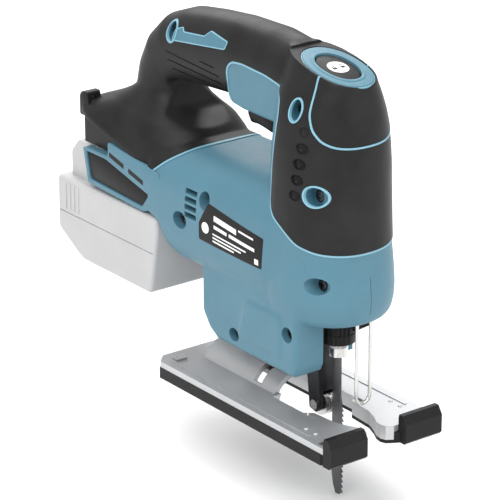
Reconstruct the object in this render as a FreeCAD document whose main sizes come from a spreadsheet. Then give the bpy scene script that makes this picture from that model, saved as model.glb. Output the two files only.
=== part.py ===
import FreeCAD, Part
import math
import os
import re
import Sketcher
from FreeCAD import Placement, Rotation, Vector

# A cordless jigsaw.  Millimetres, +Z up, +X toward the blade's teeth, +Y to
# the tool's left.  The origin is where the blade's line crosses the underside
# of the sole.  Everything the base does not carry is drawn from the underside
# of the gear case (height zero) and lifted by DECK, so it follows the base.

SIZES = (
    ("base_width", 76, "sole, side to side"),
    ("base_length", 158, "sole, front to back"),
    ("base_front", 41.5, "blade line to the front of the sole"),
    ("plate_top", 10, "sole underside to the top of the metal plate"),
    ("plate_web", 3, "thickness of the plate's upper skin"),
    ("sole_skin", 2, "thickness of the resin sole cover"),
    ("cover_side", 1.3, "thickness of the cover's side walls"),
    ("cover_rise", 6.4, "sole underside to the top of the cover's side walls"),
    ("mouth_half", 13.2, "half the width of the mouth between the hooks"),
    ("foot_bulge", 5.5, "half the gap between the two feet"),
    ("blade_bay", 13, "half the opening beside the blade"),
    ("roller_bay", 17.5, "half the opening beside the roller"),
    ("hook_height", 16, "height of the front hooks"),
    ("hook_depth", 5, "thickness of the front hooks"),
    ("tilt_height", 4, "tilt axis above the sole underside"),
    ("vault_radius", 16, "outside of the tilting vault"),
    ("vault_wall", 3, "thickness of the vault"),
    ("vault_length", 64, "vault, front to back"),
    ("vault_front", 36, "blade line back to the front of the vault"),
    ("bolt_back", 52, "blade line back to the bevel bolt"),
    ("bolt_width", 6, "bevel bolt shank"),
    ("tilt_room", 1.9, "air between the tilted plate's corner and the case"),
    ("saddle_half", 5.4, "half the width of the saddle's foot"),
    ("case_width", 62, "gear case, side to side"),
    ("case_back", 78, "blade line back to the rear of the gear case"),
    ("case_nose", 3, "blade line to the front of the gear case legs"),
    ("body_width", 72, "motor body, side to side"),
    ("body_height", 68, "motor body, top to bottom"),
    ("body_back", 112, "blade line back to the rear of the motor body"),
    ("body_corner", 24, "corner radius of the motor body's section"),
    ("motor_rise", 65, "motor axis above the case underside"),
    ("wall", 2.6, "housing wall"),
    ("head_back", 11.6, "blade line back to the head's middle"),
    ("head_long", 35, "head, half its length"),
    ("head_half", 31, "head, half its width"),
    ("hand_front", 32, "blade line back to the front of the hand hole"),
    ("head_wall", 4.4, "head wall with its soft skin"),
    ("skin", 1.8, "thickness of the soft grip skins"),
    ("top_slope", 12, "forward slope of the head's top, degrees"),
    ("handle_height", 43, "handle section, top to bottom"),
    ("handle_width", 34, "handle section, side to side"),
    ("handle_rise", 151, "handle middle above the case underside"),
    ("neck_radius", 17.5, "rear neck, half its thickness"),
    ("neck_back", 150.5, "blade line back to the neck's middle"),
    ("shell", 2.8, "handle wall"),
    ("cheek_half", 36, "centre plane to the outside of a battery cheek"),
    ("cheek_wall", 5, "thickness of a battery cheek"),
    ("battery_width", 74, "battery, side to side"),
    ("battery_slack", 0.45, "running room round the battery's rails"),
    ("rail_reach", 4, "how far a rail stands in from its cheek"),
    ("cell_radius", 8.6, "battery cell"),
    ("gear_teeth", 50, "teeth on the crank gear"),
    ("pinion_teeth", 10, "teeth on the motor pinion"),
    ("tooth_module", 0.8, "tooth size, pitch diameter over tooth count"),
    ("gear_back", 25, "blade line back to the rear face of the gears"),
    ("gear_width", 7, "gear face width"),
    ("stroke", 26, "blade stroke"),
    ("rod_radius", 4, "plunger rod"),
    ("rod_play", 0.06, "running room round the rod in its bushes"),
    ("bush_wall", 2, "bush wall"),
    ("crank_pin_radius", 3.5, "crank pin"),
    ("yoke_slot", 8.2, "height of the yoke's slot"),
    ("can_radius", 24, "motor field can"),
    ("core_radius", 15, "armature core"),
    ("shaft_radius", 2, "motor shaft"),
    ("collar_radius", 9.5, "tool opener collar"),
    ("collar_bore", 7.6, "bore of the opener collar"),
    ("holder_radius", 6.8, "blade holder"),
    ("blade_width", 8.4, "blade, back to tooth tips"),
    ("blade_thick", 1.3, "blade"),
    ("blade_drop", 39.3, "blade tip below the sole underside"),
    ("tooth_pitch", 3, "blade tooth spacing"),
    ("roller_radius", 6.8, "guide roller"),
    ("roller_width", 8, "guide roller"),
    ("arm_width", 14, "roller arm, outside of its fork"),
    ("wire", 2, "guard wire"),
    ("wire_forward", 21, "blade line to the guard wire"),
    ("wire_half", 4.6, "half the guard wire's spread"),
    ("trigger_travel", 6, "trigger"),
    ("trigger_width", 14, "trigger, side to side"),
    ("button_travel", 1, "lock button"),
    ("screw_head", 7, "housing screw head"),
    ("screw_shank", 3.2, "housing screw thread"),
    ("boss_radius", 4, "screw boss"),
)

doc = FreeCAD.newDocument("Jigsaw")
sheet = doc.addObject("Spreadsheet::Sheet", "Sizes")
for row, (alias, number, meaning) in enumerate(SIZES, start=1):
    sheet.set(f"A{row}", alias)
    sheet.set(f"B{row}", str(number))
    sheet.set(f"C{row}", meaning)
    sheet.setAlias(f"B{row}", alias)
doc.recompute()

ALIASES = re.compile(r"\b(" + "|".join(alias for alias, _, _ in SIZES) + r")\b")

# The plate's upper corner, swung up by the full 45 degree tilt, sets how high
# the gear case has to ride.
DECK = ("(tilt_height + 0.7072 * (base_width / 2 + plate_top - tilt_height)"
        " + tilt_room)")
BASE_BACK = "(base_front - base_length)"
GEAR_RISE = "(motor_rise + (gear_teeth + pinion_teeth) * tooth_module / 2)"
YOKE_RISE = f"({GEAR_RISE} - stroke / 2)"

nodes = {}
heights = {}


def bound(formula):
    """Turn the plain size names in a formula into references to the sheet."""
    return ALIASES.sub(r"Sizes.\1", str(formula))


def read(formula):
    """The number a formula comes to with the sheet as it stands."""
    found = sheet.evalExpression(bound(formula))
    return float(getattr(found, "Value", found))


def link(item, prop, formula):
    """Drive one property of an object by a formula of sheet sizes."""
    item.setExpression(prop, bound(formula))


def place(item, x=0, y=0, z=0):
    """Drive the position of an object by three formulas."""
    for letter, formula in zip("xyz", (x, y, z)):
        link(item, f"Placement.Base.{letter}", formula)
    heights[item.Name] = z


def box(name, x, y, z):
    """A box between two formulas on each axis."""
    item = doc.addObject("Part::Box", name)
    for prop, (low, high) in zip(("Length", "Width", "Height"), (x, y, z)):
        link(item, prop, f"({high}) - ({low})")
    place(item, x[0], y[0], z[0])
    return item


TURN = {
    "x": Rotation(Vector(0, 1, 0), 90),
    "y": Rotation(Vector(1, 0, 0), -90),
    "z": Rotation(),
}


def along(item, axis, centre, start):
    """Turn an upright primitive to an axis and drive where it starts."""
    item.Placement = Placement(Vector(), TURN[axis])
    spots = list(centre)
    spots.insert("xyz".index(axis), start)
    place(item, *spots)
    return item


def rod(name, axis, centre, radius, span):
    """A cylinder along an axis between the two formulas of its span."""
    item = doc.addObject("Part::Cylinder", name)
    link(item, "Radius", radius)
    link(item, "Height", f"({span[1]}) - ({span[0]})")
    return along(item, axis, centre, span[0])


def cone(name, axis, centre, radii, span):
    """A cone along an axis, its radius going from the first to the second."""
    item = doc.addObject("Part::Cone", name)
    link(item, "Radius1", radii[0])
    link(item, "Radius2", radii[1])
    link(item, "Height", f"({span[1]}) - ({span[0]})")
    return along(item, axis, centre, span[0])


def fuse(name, *items):
    """One solid out of several."""
    item = doc.addObject("Part::MultiFuse", name)
    item.Shapes = list(items)
    return item


def common(name, *items):
    """What several solids share."""
    item = doc.addObject("Part::MultiCommon", name)
    item.Shapes = list(items)
    return item


def cut(name, base, *tools):
    """A solid less every tool."""
    item = doc.addObject("Part::Cut", name)
    item.Base = base
    item.Tool = tools[0] if len(tools) == 1 else fuse(f"{name}_tools", *tools)
    return item


def group(name, items):
    """Separate solids that are one kind of piece."""
    item = doc.addObject("Part::Compound", name)
    item.Links = list(items)
    return item


def mirrored(name, source):
    """The same solid on the other side of the centre plane."""
    item = doc.addObject("Part::Mirroring", name)
    item.Source = source
    item.Normal = Vector(0, 1, 0)
    return item


def tube(name, axis, centre, outer, inner, span):
    """A cylinder with a bore right through it."""
    return cut(name, rod(f"{name}_out", axis, centre, outer, span),
               rod(f"{name}_bore", axis, centre, inner,
                   (f"({span[0]}) - 1", f"({span[1]}) + 1")))


def start_body(name, plane, rise=0):
    """A body with one empty sketch laid on a plane of its own origin."""
    body = doc.addObject("PartDesign::Body", name)
    return body, add_sketch(body, f"{name}_outline", plane, rise)


def add_sketch(body, name, plane, rise=0):
    """An empty sketch on an origin plane of the body, moved off it by rise."""
    sketch = body.newObject("Sketcher::SketchObject", name)
    seat = next(item for item in body.Origin.OriginFeatures if item.Role == f"{plane}_Plane")
    sketch.AttachmentSupport = [(seat, "")]
    sketch.MapMode = "FlatFace"
    link(sketch, "AttachmentOffset.Base.z", rise)
    return sketch


def draw(sketch, corners):
    """A closed outline whose corners are pairs of formulas."""
    spots = [Vector(read(u), read(v), 0) for u, v in corners]
    for index, spot in enumerate(spots):
        sketch.addGeometry(Part.LineSegment(spot, spots[(index + 1) % len(spots)]), False)
    for index, (u, v) in enumerate(corners):
        before = (index - 1) % len(corners)
        sketch.addConstraint(Sketcher.Constraint("Coincident", index, 1, before, 2))
        for kind, formula, number in (("DistanceX", u, spots[index].x),
                                      ("DistanceY", v, spots[index].y)):
            spot = sketch.addConstraint(Sketcher.Constraint(kind, index, 1, number))
            sketch.setExpression(f"Constraints[{spot}]", bound(formula))


def draw_circle(sketch, radius):
    """A circle round the sketch's origin."""
    sketch.addGeometry(Part.Circle(Vector(), Vector(0, 0, 1), read(radius)), False)
    sketch.addConstraint(Sketcher.Constraint("Coincident", 0, 3, -1, 1))
    spot = sketch.addConstraint(Sketcher.Constraint("Radius", 0, read(radius)))
    sketch.setExpression(f"Constraints[{spot}]", bound(radius))


def pad(name, plane, corners, depth, rise=0, both_ways=False, round_by=None, pick=None):
    """An outline pushed through a depth; chosen edges may be rounded."""
    body, sketch = start_body(name, plane, rise)
    draw(sketch, corners)
    feature = body.newObject("PartDesign::Pad", f"{name}_pad")
    feature.Profile = sketch
    if both_ways:
        feature.SideType = "Symmetric"
    link(feature, "Length", depth)
    if round_by:
        soften(body, feature, f"{name}_round", round_by, pick)
    return body


def soften(body, feature, name, radius, pick):
    """Round the edges of a feature that the picking function accepts."""
    doc.recompute()
    names = [f"Edge{count}" for count, edge in enumerate(feature.Shape.Edges, start=1) if pick(edge)]
    fillet = body.newObject("PartDesign::Fillet", name)
    fillet.Base = (feature, names)
    link(fillet, "Radius", radius)


def runs_along(axis):
    """Accepts straight edges parallel to an axis."""
    def accept(edge):
        reach = edge.Vertexes[-1].Point - edge.Vertexes[0].Point
        return reach.Length > 0.5 and abs(getattr(reach, axis)) > 0.999 * reach.Length
    return accept


def side_pad(name, corners, width, **more):
    """An outline in the side view, given equal depth to both sides."""
    return pad(name, "XZ", corners, width, both_ways=True, **more)


def oval(name, x, z, major, minor, lean=0):
    """An ellipse across the centre plane; lean turns its long axis off +X."""
    item = doc.addObject("Part::Ellipse", name)
    link(item, "MajorRadius", major)
    link(item, "MinorRadius", minor)
    item.Placement = Placement(Vector(), Rotation(Vector(0, 1, 0), lean))
    place(item, x, 0, z)
    return item


def loft(name, ovals):
    """A smooth solid through a row of ovals: x, z, major, minor, lean."""
    item = doc.addObject("Part::Loft", name)
    item.Sections = [oval(f"{name}_{count}", *numbers) for count, numbers in enumerate(ovals)]
    item.Solid = True
    return item


def oval_post(name, x, major, minor, span):
    """An upright post of oval plan between two heights."""
    item = doc.addObject("Part::Extrusion", name)
    item.Base = oval(f"{name}_plan", x, span[0], major, minor)
    item.DirMode = "Custom"
    item.Dir = Vector(0, 0, 1)
    item.Solid = True
    link(item, "LengthFwd", f"({span[1]}) - ({span[0]})")
    return item


def keep(name, item, raised=True):
    """Record a finished piece; raised pieces ride on the deck height."""
    item.Label = name
    if raised:
        link(item, "Placement.Base.z", f"{DECK} + ({heights.get(item.Name, 0)})")
    nodes[name] = item


def keep_halves(name, item):
    """Split a piece down the centre plane into its right and left halves."""
    far = 400
    right = box(f"{name}_right_side", (-far, far), (-far, 0), (-far, far))
    left = box(f"{name}_left_side", (-far, far), (0, far), (-far, far))
    keep(f"{name}_right", common(f"{name}_right_half", item, right))
    keep(f"{name}_left", common(f"{name}_left_half", item, left))


# ----------------------------------------------------------------- the base

def foot_outline(inset, mouth):
    """The sole seen from above, drawn in by an inset, feet either side."""
    half = f"(base_width / 2 - {inset})"
    front = f"(base_front - {mouth})"
    back = f"({BASE_BACK} + {inset})"
    inner = (
        (front, "mouth_half"),
        ("base_front - 6", "mouth_half - 2"),
        ("base_front - 9", "foot_bulge + 1"),
        ("base_front - 12", "foot_bulge"),
        ("base_front - 16", "foot_bulge + 0.6"),
        ("base_front - 22", "foot_bulge + 3.7"),
        ("base_front - 29", "blade_bay - 1.2"),
        ("base_front - 45", "blade_bay"),
        ("base_front - 49", "roller_bay"),
        ("2 - vault_front", "roller_bay"),
    )
    outer = (
        (back, f"{half} - 6"),
        (f"{back} + 6", half),
        (f"{front} - 4", half),
        (front, f"{half} - 4"),
    )
    left = [(x, f"({y})") for x, y in outer + inner]
    right = [(x, f"-({y})") for x, y in reversed(outer + inner)]
    return left + right


def build_base():
    """Sole cover, metal plate with its tilting vault, and the cover clips."""
    vault_back = "(-vault_front - vault_length)"
    vault_inner = "(vault_radius - vault_wall)"
    cover_block = pad("cover_block", "XY", foot_outline(0, "hook_depth"), "cover_rise")
    cover_hollow = box("cover_hollow",
                       (f"{BASE_BACK} + cover_side", "base_front - hook_depth - 1.6"),
                       ("cover_side - base_width / 2", "base_width / 2 - cover_side"),
                       ("sole_skin", "plate_top + 5"))
    well = box("cover_well", (f"{vault_back} + 4", "4 - vault_front"),
               (f"-{vault_inner}", vault_inner), (-1, "plate_top"))
    hook = side_pad("hook_block", [
        ("base_front - hook_depth - 1.6", "0"),
        ("base_front - 1.5", "0"),
        ("base_front", "1.5"),
        ("base_front", "hook_height - 4.5"),
        ("base_front - 3", "hook_height"),
        ("base_front - hook_depth - 1", "hook_height"),
        ("base_front - hook_depth - 1.6", "hook_height - 2"),
    ], "base_width")
    mouth = box("hook_mouth", ("base_front - 12", "base_front + 1"),
                ("-mouth_half", "mouth_half"), (-1, "hook_height + 1"))
    hooks = cut("hooks", hook, mouth)
    keep("sole_cover", cut("sole_cover_solid", fuse("cover_and_hooks", cut(
        "cover_tray", cover_block, cover_hollow), hooks), well), raised=False)

    inset = "(cover_side + 0.05)"
    hook_room = box("hook_room", ("base_front - hook_depth - 1.65", "base_front + 1"),
                    ("-base_width", "base_width"), (0, "plate_top + 1"))
    lower = pad("plate_skin", "XY", foot_outline(inset, "hook_depth + 1.7"),
                "plate_top - sole_skin", rise="sole_skin")
    brim = pad("plate_brim", "XY", foot_outline("0.3", "hook_depth + 1.7"),
               "plate_top - cover_rise - 0.1", rise="cover_rise + 0.1")
    upper = cut("plate_blank", fuse("plate_and_brim", lower, brim), hook_room)
    under = box("plate_under",
                (f"{BASE_BACK} + 6", "base_front - hook_depth - 5"),
                ("6 - base_width / 2", "-roller_bay - 3"),
                ("sole_skin - 1", "plate_top - plate_web"))
    ring = rod("vault_round", "x", (0, "tilt_height"), "vault_radius",
               (vault_back, "-vault_front"))
    trim = box("vault_lower", (f"{vault_back} - 1", "1 - vault_front"),
               ("-vault_radius", "vault_radius"), (-20, "sole_skin + 0.05"))
    bore = rod("vault_bore", "x", (0, "tilt_height"), vault_inner,
               (f"{vault_back} + 4", "10 - vault_front"))
    throat = box("vault_throat", (f"{vault_back} + 4", "10 - vault_front"),
                 (f"-{vault_inner}", vault_inner), (-1, "tilt_height"))
    slot = fan_slot("bevel_slot", "bolt_width + 1", 62)
    holes = []
    for side in (-1, 1):
        where = f"{side} * (base_width / 2 - 6)"
        holes.append(box("hook_window", ("base_front - 14", "base_front - 9"),
                         (f"{where} - 3.2", f"{where} + 3.2"), ("sole_skin", "plate_top + 1")))
        holes.append(box("edge_window", ("-6", "2"),
                         (f"{side} * (blade_bay + 4) - 1.6", f"{side} * (blade_bay + 4) + 1.6"),
                         ("plate_top - 1.5", "plate_top + 1")))
    dots = []
    for side in (-1, 1):
        for back in (2, 10):
            dots.append(cone("foot_dot", "z",
                             (f"base_front - 22 - {back}", f"{side} * (base_width / 2 - 9)"),
                             (1.6, 0.9), ("plate_top - 0.5", "plate_top + 0.7")))
        ridge = f"{side} * (base_width / 2 - 5)"
        dots.append(box("long_ridge", (f"{BASE_BACK} + 10", "base_front - 24"),
                        (f"{ridge} - 0.8", f"{ridge} + 0.8"), ("plate_top - 0.5", "plate_top + 0.5")))
    plate = cut("plate_hollowed", upper, under, mirrored("plate_under_left", under))
    vault = cut("vault_shell", ring, trim)
    keep("base_plate", cut("base_plate_solid", fuse("plate_and_vault", plate, vault, *dots),
                           bore, throat, slot, *holes), raised=False)
    clips = [box("clip", (f"{BASE_BACK} + 8", f"{BASE_BACK} + 13"),
                 (f"{low}", f"{low} + 7"), ("plate_top", "plate_top + 1.2"))
             for low in ("base_width / 2 - 14", "7 - base_width / 2")]
    keep("cover_clips", group("cover_clip_pair", clips), raised=False)


def fan_slot(name, width, reach):
    """A slot round the top of the vault, reach degrees to either side."""
    edge = math.radians(reach)
    span = 30
    corners = [("0", "tilt_height")]
    for step in range(-2, 3):
        angle = edge * step / 2
        corners.append((f"{span * math.sin(angle)}", f"tilt_height + {span * math.cos(angle)}"))
    middle = f"-bolt_back - ({width}) / 2"
    return pad(name, "YZ", corners, width, rise=middle)


def build_bevel():
    """The saddle over the vault, and the bolt and plate that clamp it."""
    seat = "(vault_radius + 0.12)"
    low = f"(tilt_height + vault_radius * 0.93 - {DECK})"
    saddle = pad("saddle_block", "YZ", [
        ("-saddle_half", low),
        ("saddle_half", low),
        ("saddle_half", f"{low} + 2"),
        ("saddle_half + 9", "-5"),
        ("saddle_half + 9", "0"),
        ("-saddle_half - 9", "0"),
        ("-saddle_half - 9", "-5"),
        ("-saddle_half", f"{low} + 2"),
    ], 40, rise="-bolt_back - 18")
    vault = rod("saddle_seat", "x", (0, f"tilt_height - {DECK}"), seat,
                ("-bolt_back - 30", "-bolt_back + 30"))
    hole = rod("saddle_hole", "z", ("-bolt_back", 0), "bolt_width / 2", (-30, 5))
    keep("bevel_saddle", cut("saddle_solid", saddle, vault, hole))
    drop = f"(tilt_height - {DECK})"
    top = "(vault_radius - vault_wall - 0.12)"
    shank = rod("bolt_shank", "z", ("-bolt_back", 0), "bolt_width / 2", (f"{drop} + 8", "2.2"))
    head = rod("bolt_head", "z", ("-bolt_back", 0), "bolt_width * 0.83", (f"{drop} + 4", f"{drop} + 9"))
    key = pad("bolt_socket", "XY",
              [(f"-bolt_back + {2.9 * math.cos(turn)}", f"{2.9 * math.sin(turn)}")
               for turn in (math.radians(60 * step) for step in range(6))],
              3, rise=f"{drop} + 3.9")
    keep("bevel_bolt", cut("bolt_solid", fuse("bolt_parts", shank, head), key))
    ring = rod("clamp_round", "x", (0, drop), top, ("-bolt_back - 8", "8 - bolt_back"))
    core = rod("clamp_inner", "x", (0, drop), f"{top} - 2.2", ("-bolt_back - 9", "9 - bolt_back"))
    window = box("clamp_window", ("-bolt_back - 8", "8 - bolt_back"), (-5.2, 5.2),
                 (f"{drop} + 4", "0"))
    hole = rod("clamp_hole", "z", ("-bolt_back", 0), "bolt_width / 2", (-30, 5))
    flat = box("clamp_flat", ("-bolt_back - 8", "8 - bolt_back"), (-5.2, 5.2),
               (f"{drop} + 9", f"{drop} + 11"))
    arch = cut("clamp_arch", common("clamp_piece", ring, window), core)
    keep("bevel_clamp", cut("clamp_solid", common("clamp_whole", fuse(
        "clamp_parts", arch, flat), ring), hole))


# ------------------------------------------------------------- the housing

SCREWS = (
    # where, x, height, seat from the centre plane, length
    ("handle_rear", "-neck_back + 24", "handle_rise + 2", 9, 17),
    ("handle_middle", -88, "handle_rise - 8", 9, 17),
    ("head_upper", -0.4, "handle_rise + 0.6", "head_half * 0.55", 26),
    ("head_front", 10.6, 103, "head_half * 0.45", 24),
    ("nose", 13.8, 54, "head_half * 0.5", 26),
    ("case_front", -4, 22, "case_width / 2 - 4", 11),
    ("case_rear", "-bolt_back + 2", 8, "case_width / 2 - 9", 40),
    ("field_upper", -71.5, "motor_rise + 15", "body_width / 2 - 6", 10),
    ("field_lower", -91, "motor_rise - 2", "body_width / 2 - 4", 8),
)
IN_HANDLE = ("handle_rear", "handle_middle")


def head_solid(name, less):
    """The head column with its flat rear wall facing the hand hole."""
    post = oval_post(f"{name}_post", "-head_back", f"head_long - {less}", f"head_half - {less}",
                     ("motor_rise - 10", "handle_rise + 40"))
    rear = box(f"{name}_rear", (-80, f"{less} - hand_front"), (-60, 60),
               ("motor_rise + body_height / 2 - 1", "handle_rise + 50"))
    return common(name, cut(f"{name}_column", post, rear), head_arch(f"{name}_arch", less))


def head_arch(name, less):
    """The head seen from the front: upright sides that close in to the crown."""
    rows = (
        # height from the middle of the handle, width beyond the head's half
        (-140, 0.5),
        (-28, 0.5),
        (-16, -2.6),
        (-9, -4.8),
        (-1, -8.5),
        (7, -12.7),
        (15, -16),
        (45, -16),
    )
    right = [(f"head_half + ({wider}) - {less}", f"handle_rise + ({height})") for height, wider in rows]
    left = [(f"-({half})", height) for half, height in reversed(right)]
    return pad(name, "YZ", right + left, "head_long * 3", rise="-head_long * 2")


def body_block(name, less, back):
    """The motor body's rounded section, its front drawn in to an oval nose."""
    half = f"(body_width / 2 - {less})"
    rise = f"(body_height / 2 - {less})"
    nose = "(head_long - head_back + 1)"
    corners = [(f"{a} * {half}", f"motor_rise + {b} * {rise}")
               for a, b in ((-1, -1), (1, -1), (1, 1), (-1, 1))]
    block = pad(f"{name}_block", "YZ", corners, f"{nose} + 4 - ({back})", rise=back,
                round_by=f"body_corner - {less}", pick=runs_along("x"))
    height = ("motor_rise - body_height", "motor_rise + body_height")
    flank = box(f"{name}_flank", (f"{back} - 1", -30), (f"-{half} - 1", f"{half} + 1"), height)
    front = oval_post(f"{name}_front", -30, f"{nose} + 30 - {less}", f"{half} + 0.02", height)
    return common(name, block, fuse(f"{name}_plan", flank, front))


def crown_cutter(name, lift):
    """Everything above the head's forward-sloping top."""
    item = doc.addObject("Part::Box", name)
    for prop, span in (("Length", 140), ("Width", 120), ("Height", 90)):
        link(item, prop, span)
    item.Placement = Placement(Vector(), Rotation(Vector(0, 1, 0), read("top_slope")))
    link(item, "Placement.Rotation.Angle", "top_slope")
    reach = 80
    place(item, f"-1 - {reach} * cos(top_slope * 1deg)", -60,
          f"{CROWN} + {lift} + {reach} * sin(top_slope * 1deg)")
    return item


CROWN = "(handle_rise + 11.2)"
ARM_AXIS = (-16, 10)
LIGHT_SPOT = (12, 9.4)


def build_housing():
    """The two blue housing halves, split on the centre plane."""
    shell_back = "-body_back"
    case = side_pad("case_block", [
        ("-case_back", "13"),
        ("-case_back + 7", "4"),
        ("-case_back + 12", "0"),
        ("case_nose - 3", "0"),
        ("case_nose", "3"),
        ("case_nose", "40"),
        ("-case_back", "40"),
    ], "case_width")
    recess_low = box("bracket_recess", ("-27", "case_nose + 1"), ("-blade_bay", "blade_bay"), (-1, 18))
    recess_high = box("collar_recess", ("-collar_radius - 3", "case_nose + 1"),
                      ("-blade_bay", "blade_bay"), (17, 30))
    head = head_solid("head", 0)
    body = body_block("body_solid", 0, shell_back)
    outer = fuse("housing_outer", case, head, body)

    head_room = head_solid("head_room", "head_wall")
    body_room = body_block("body_room", "wall", f"{shell_back} + wall")
    case_room = box("case_room", ("-case_back + 14", "-30"),
                    ("3 - case_width / 2", "case_width / 2 - 3"), (3, 42))
    floor = box("nose_floor", (-60, 40), (-60, 60), (-10, 33))
    rooms = fuse("housing_rooms", cut("head_room_cut", head_room, floor, crown_cutter("roof", -3)),
                 body_room, case_room)
    sight = fuse("cut_line_sight",
                 box("sight_outer", (-22, "case_nose + 1"), ("blade_bay + 6", "case_width"), (-1, 30)),
                 box("sight_inner", (-11, "case_nose + 1"), ("blade_bay - 1", "case_width"), (-1, 30)))
    shell = cut("housing_shell", cut("housing_crown", outer, crown_cutter("crown_trim", 0)), rooms, sight)
    bosses, drills = screw_bosses("housing", lambda name: name not in IN_HANDLE)
    plunger_hole = rod("plunger_hole", "z", (0, 0), "collar_bore + 0.4", (16, 36))
    lead_hole = box("lead_hole", ("-hand_front - 2", "10 - hand_front"), (-9, 9),
                    ("handle_rise - 8", "handle_rise + 8"))
    vents = [box("vent", (-87.5, -77), ("-body_width / 2 - 1", "body_width / 2 + 1"),
                 (f"motor_rise + {4.4 * count}", f"motor_rise + {4.4 * count + 3}"))
             for count in range(4)]
    grip_zone = head_grip_zone()
    skin = cut("head_skin", common("head_skin_zone", fuse("head_and_nose", head, body), grip_zone),
               head_solid("head_core", "skin"), body_block("body_core", "skin", shell_back))
    field_room = rod("field_room", "x", (0, "motor_rise"), "can_radius + 0.4", ("-body_back", -30))
    posts = cut("housing_posts", common("housing_bosses", fuse("housing_boss_set", *bosses), outer),
                skin, field_room)
    whole = fuse("housing_whole", cut("housing_open", shell, recess_low, recess_high, skin), posts)
    blue = cut("housing_blue", whole, plunger_hole, lead_hole, bezel_seat("roof_hole"), *drills,
               *vents, *fitting_holes(), lever_pocket(), wire_holes())
    cheeks = build_cheeks()
    keep_halves("housing", fuse("housing_with_cheeks", blue, cheeks))
    head_grip = cut("head_grip_skin", cut("head_grip_crown", skin, crown_cutter("grip_trim", 0)),
                    bezel_seat("grip_hole"), *screw_pockets("grip"))
    keep_halves("head_grip", head_grip)


def head_grip_zone():
    """The side-view region of the head that the soft skin covers."""
    return side_pad("grip_zone", [
        ("-18", "147"),
        ("-18", "99"),
        ("-10", "88"),
        ("7", "78"),
        ("20", "76"),
        ("26", "67"),
        ("60", "67"),
        ("60", "170"),
        ("10", "170"),
        ("-6", "160"),
    ], 100)


def screw_bosses(name, wanted):
    """Boss solids and the holes through them for the wanted screws."""
    bosses = []
    drills = []
    for label, x, height, seat, length in SCREWS:
        if not wanted(label):
            continue
        end = 60 if read(f"{length} - ({seat})") > 0 else f"{length} - ({seat}) + 2"
        bosses.append(rod(f"{name}_boss", "y", (x, height), "boss_radius", (-60, end)))
        drills.append(rod(f"{name}_drill", "y", (x, height), "screw_shank / 2",
                          (f"-({seat}) - 1", f"{length} - ({seat})")))
        drills.append(rod(f"{name}_counterbore", "y", (x, height), "screw_head / 2 + 0.3",
                          ("-base_width", f"-({seat})")))
    return bosses, drills


def screw_pockets(name):
    """The counterbores alone, for skins that lie over the bosses."""
    return [rod(f"{name}_pocket", "y", (x, height), "screw_head / 2 + 0.3",
                ("-base_width", f"-({seat})")) for _, x, height, seat, _ in SCREWS]


def bezel_seat(name):
    """The oval hole in the crown that the bezel is pressed into."""
    return crown_oval(name, 23.02, 15.02, -9, 3)


def fitting_holes():
    """Seats in the case for the arm's pivot pin, the bevel bolt and the light."""
    return (rod("pivot_seat", "y", ARM_AXIS, 2.02, ("-blade_bay - 5.1", "blade_bay + 5.1")),
            rod("bolt_seat", "z", ("-bolt_back", 0), "bolt_width / 2 + 0.05", (-1, 2.4)),
            rod("light_seat", "z", LIGHT_SPOT, 2.7, (28, 33.2)))


def lever_pocket():
    """The round seat for the orbital lever on the left flank."""
    return rod("lever_pocket", "y", (-34, 20), 11, ("case_width / 2 - 2.4", "case_width"))


def wire_holes():
    """Two blind holes under the nose for the guard wire."""
    return fuse("wire_hole_pair", *[rod("wire_hole", "z", ("wire_forward", f"{side} * wire_half"),
                                        "wire / 2", (20, 38)) for side in (-1, 1)])


def build_cheeks():
    """The battery cheeks, the ceiling between them and the neck's core."""
    outline = [
        ("-181", "58.5"),
        ("-185.5", "79"),
        ("-160.7", "79.5"),
        ("-160.7", "88"),
        ("-body_back - 1", "82.5"),
        ("-body_back + 1", "62"),
        ("-127.4", "56.6"),
    ]
    block = side_pad("cheek_block", outline, "cheek_half * 2")
    inside = box("cheek_inside", (-190, "-body_back - 4"),
                 ("cheek_wall - cheek_half", "cheek_half - cheek_wall"), (50, 79))
    notch = box("cheek_notch", (-190, -150), (-26, 26), (82, 92))
    panels = []
    for side in (-1, 1):
        where = sorted((side * 33.8, side * 40))
        panels.append(box("cheek_panel", (-176, -124), where, (63, 75)))
    rails = []
    for side in (-1, 1):
        near = "cheek_half - cheek_wall - rail_reach"
        far = "cheek_half - cheek_wall + 1"
        span = (near, far) if side > 0 else (f"-({far})", f"-({near})")
        rails.append(box("rail", (-180, "-body_back - 8"), span, (67, 71)))
    core = box("neck_core", (-166, -134), (-11, 11), (80, 100))
    hollow = box("neck_core_hollow", (-163, -137), (-8, 8), (70, 110))
    return cut("cheek_solid", fuse("cheek_whole", cut("cheek_shell", block, inside, notch, *panels),
                                   *rails, core), hollow)


def build_screws():
    """Every housing screw, as separate solids of one kind."""
    solids = []
    for _, x, height, seat, length in SCREWS:
        head = rod("screw_cap", "y", (x, height), "screw_head / 2", (f"-({seat}) - 2.6", f"-({seat})"))
        shank = rod("screw_thread", "y", (x, height), "screw_shank / 2",
                    (f"-({seat})", f"{length} - ({seat}) - 1"))
        cross = []
        for wide, tall in ((1.9, 0.4), (0.4, 1.9)):
            cross.append(box("screw_cross", (f"{x} - {wide}", f"{x} + {wide}"),
                             (f"-({seat}) - 3", f"-({seat}) - 1.2"),
                             (f"{height} - {tall}", f"{height} + {tall}")))
        solids.append(cut("screw", fuse("screw_blank", head, shank), *cross))
    keep("housing_screws", group("screw_set", solids))


# -------------------------------------------------------------- the handle

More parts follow.
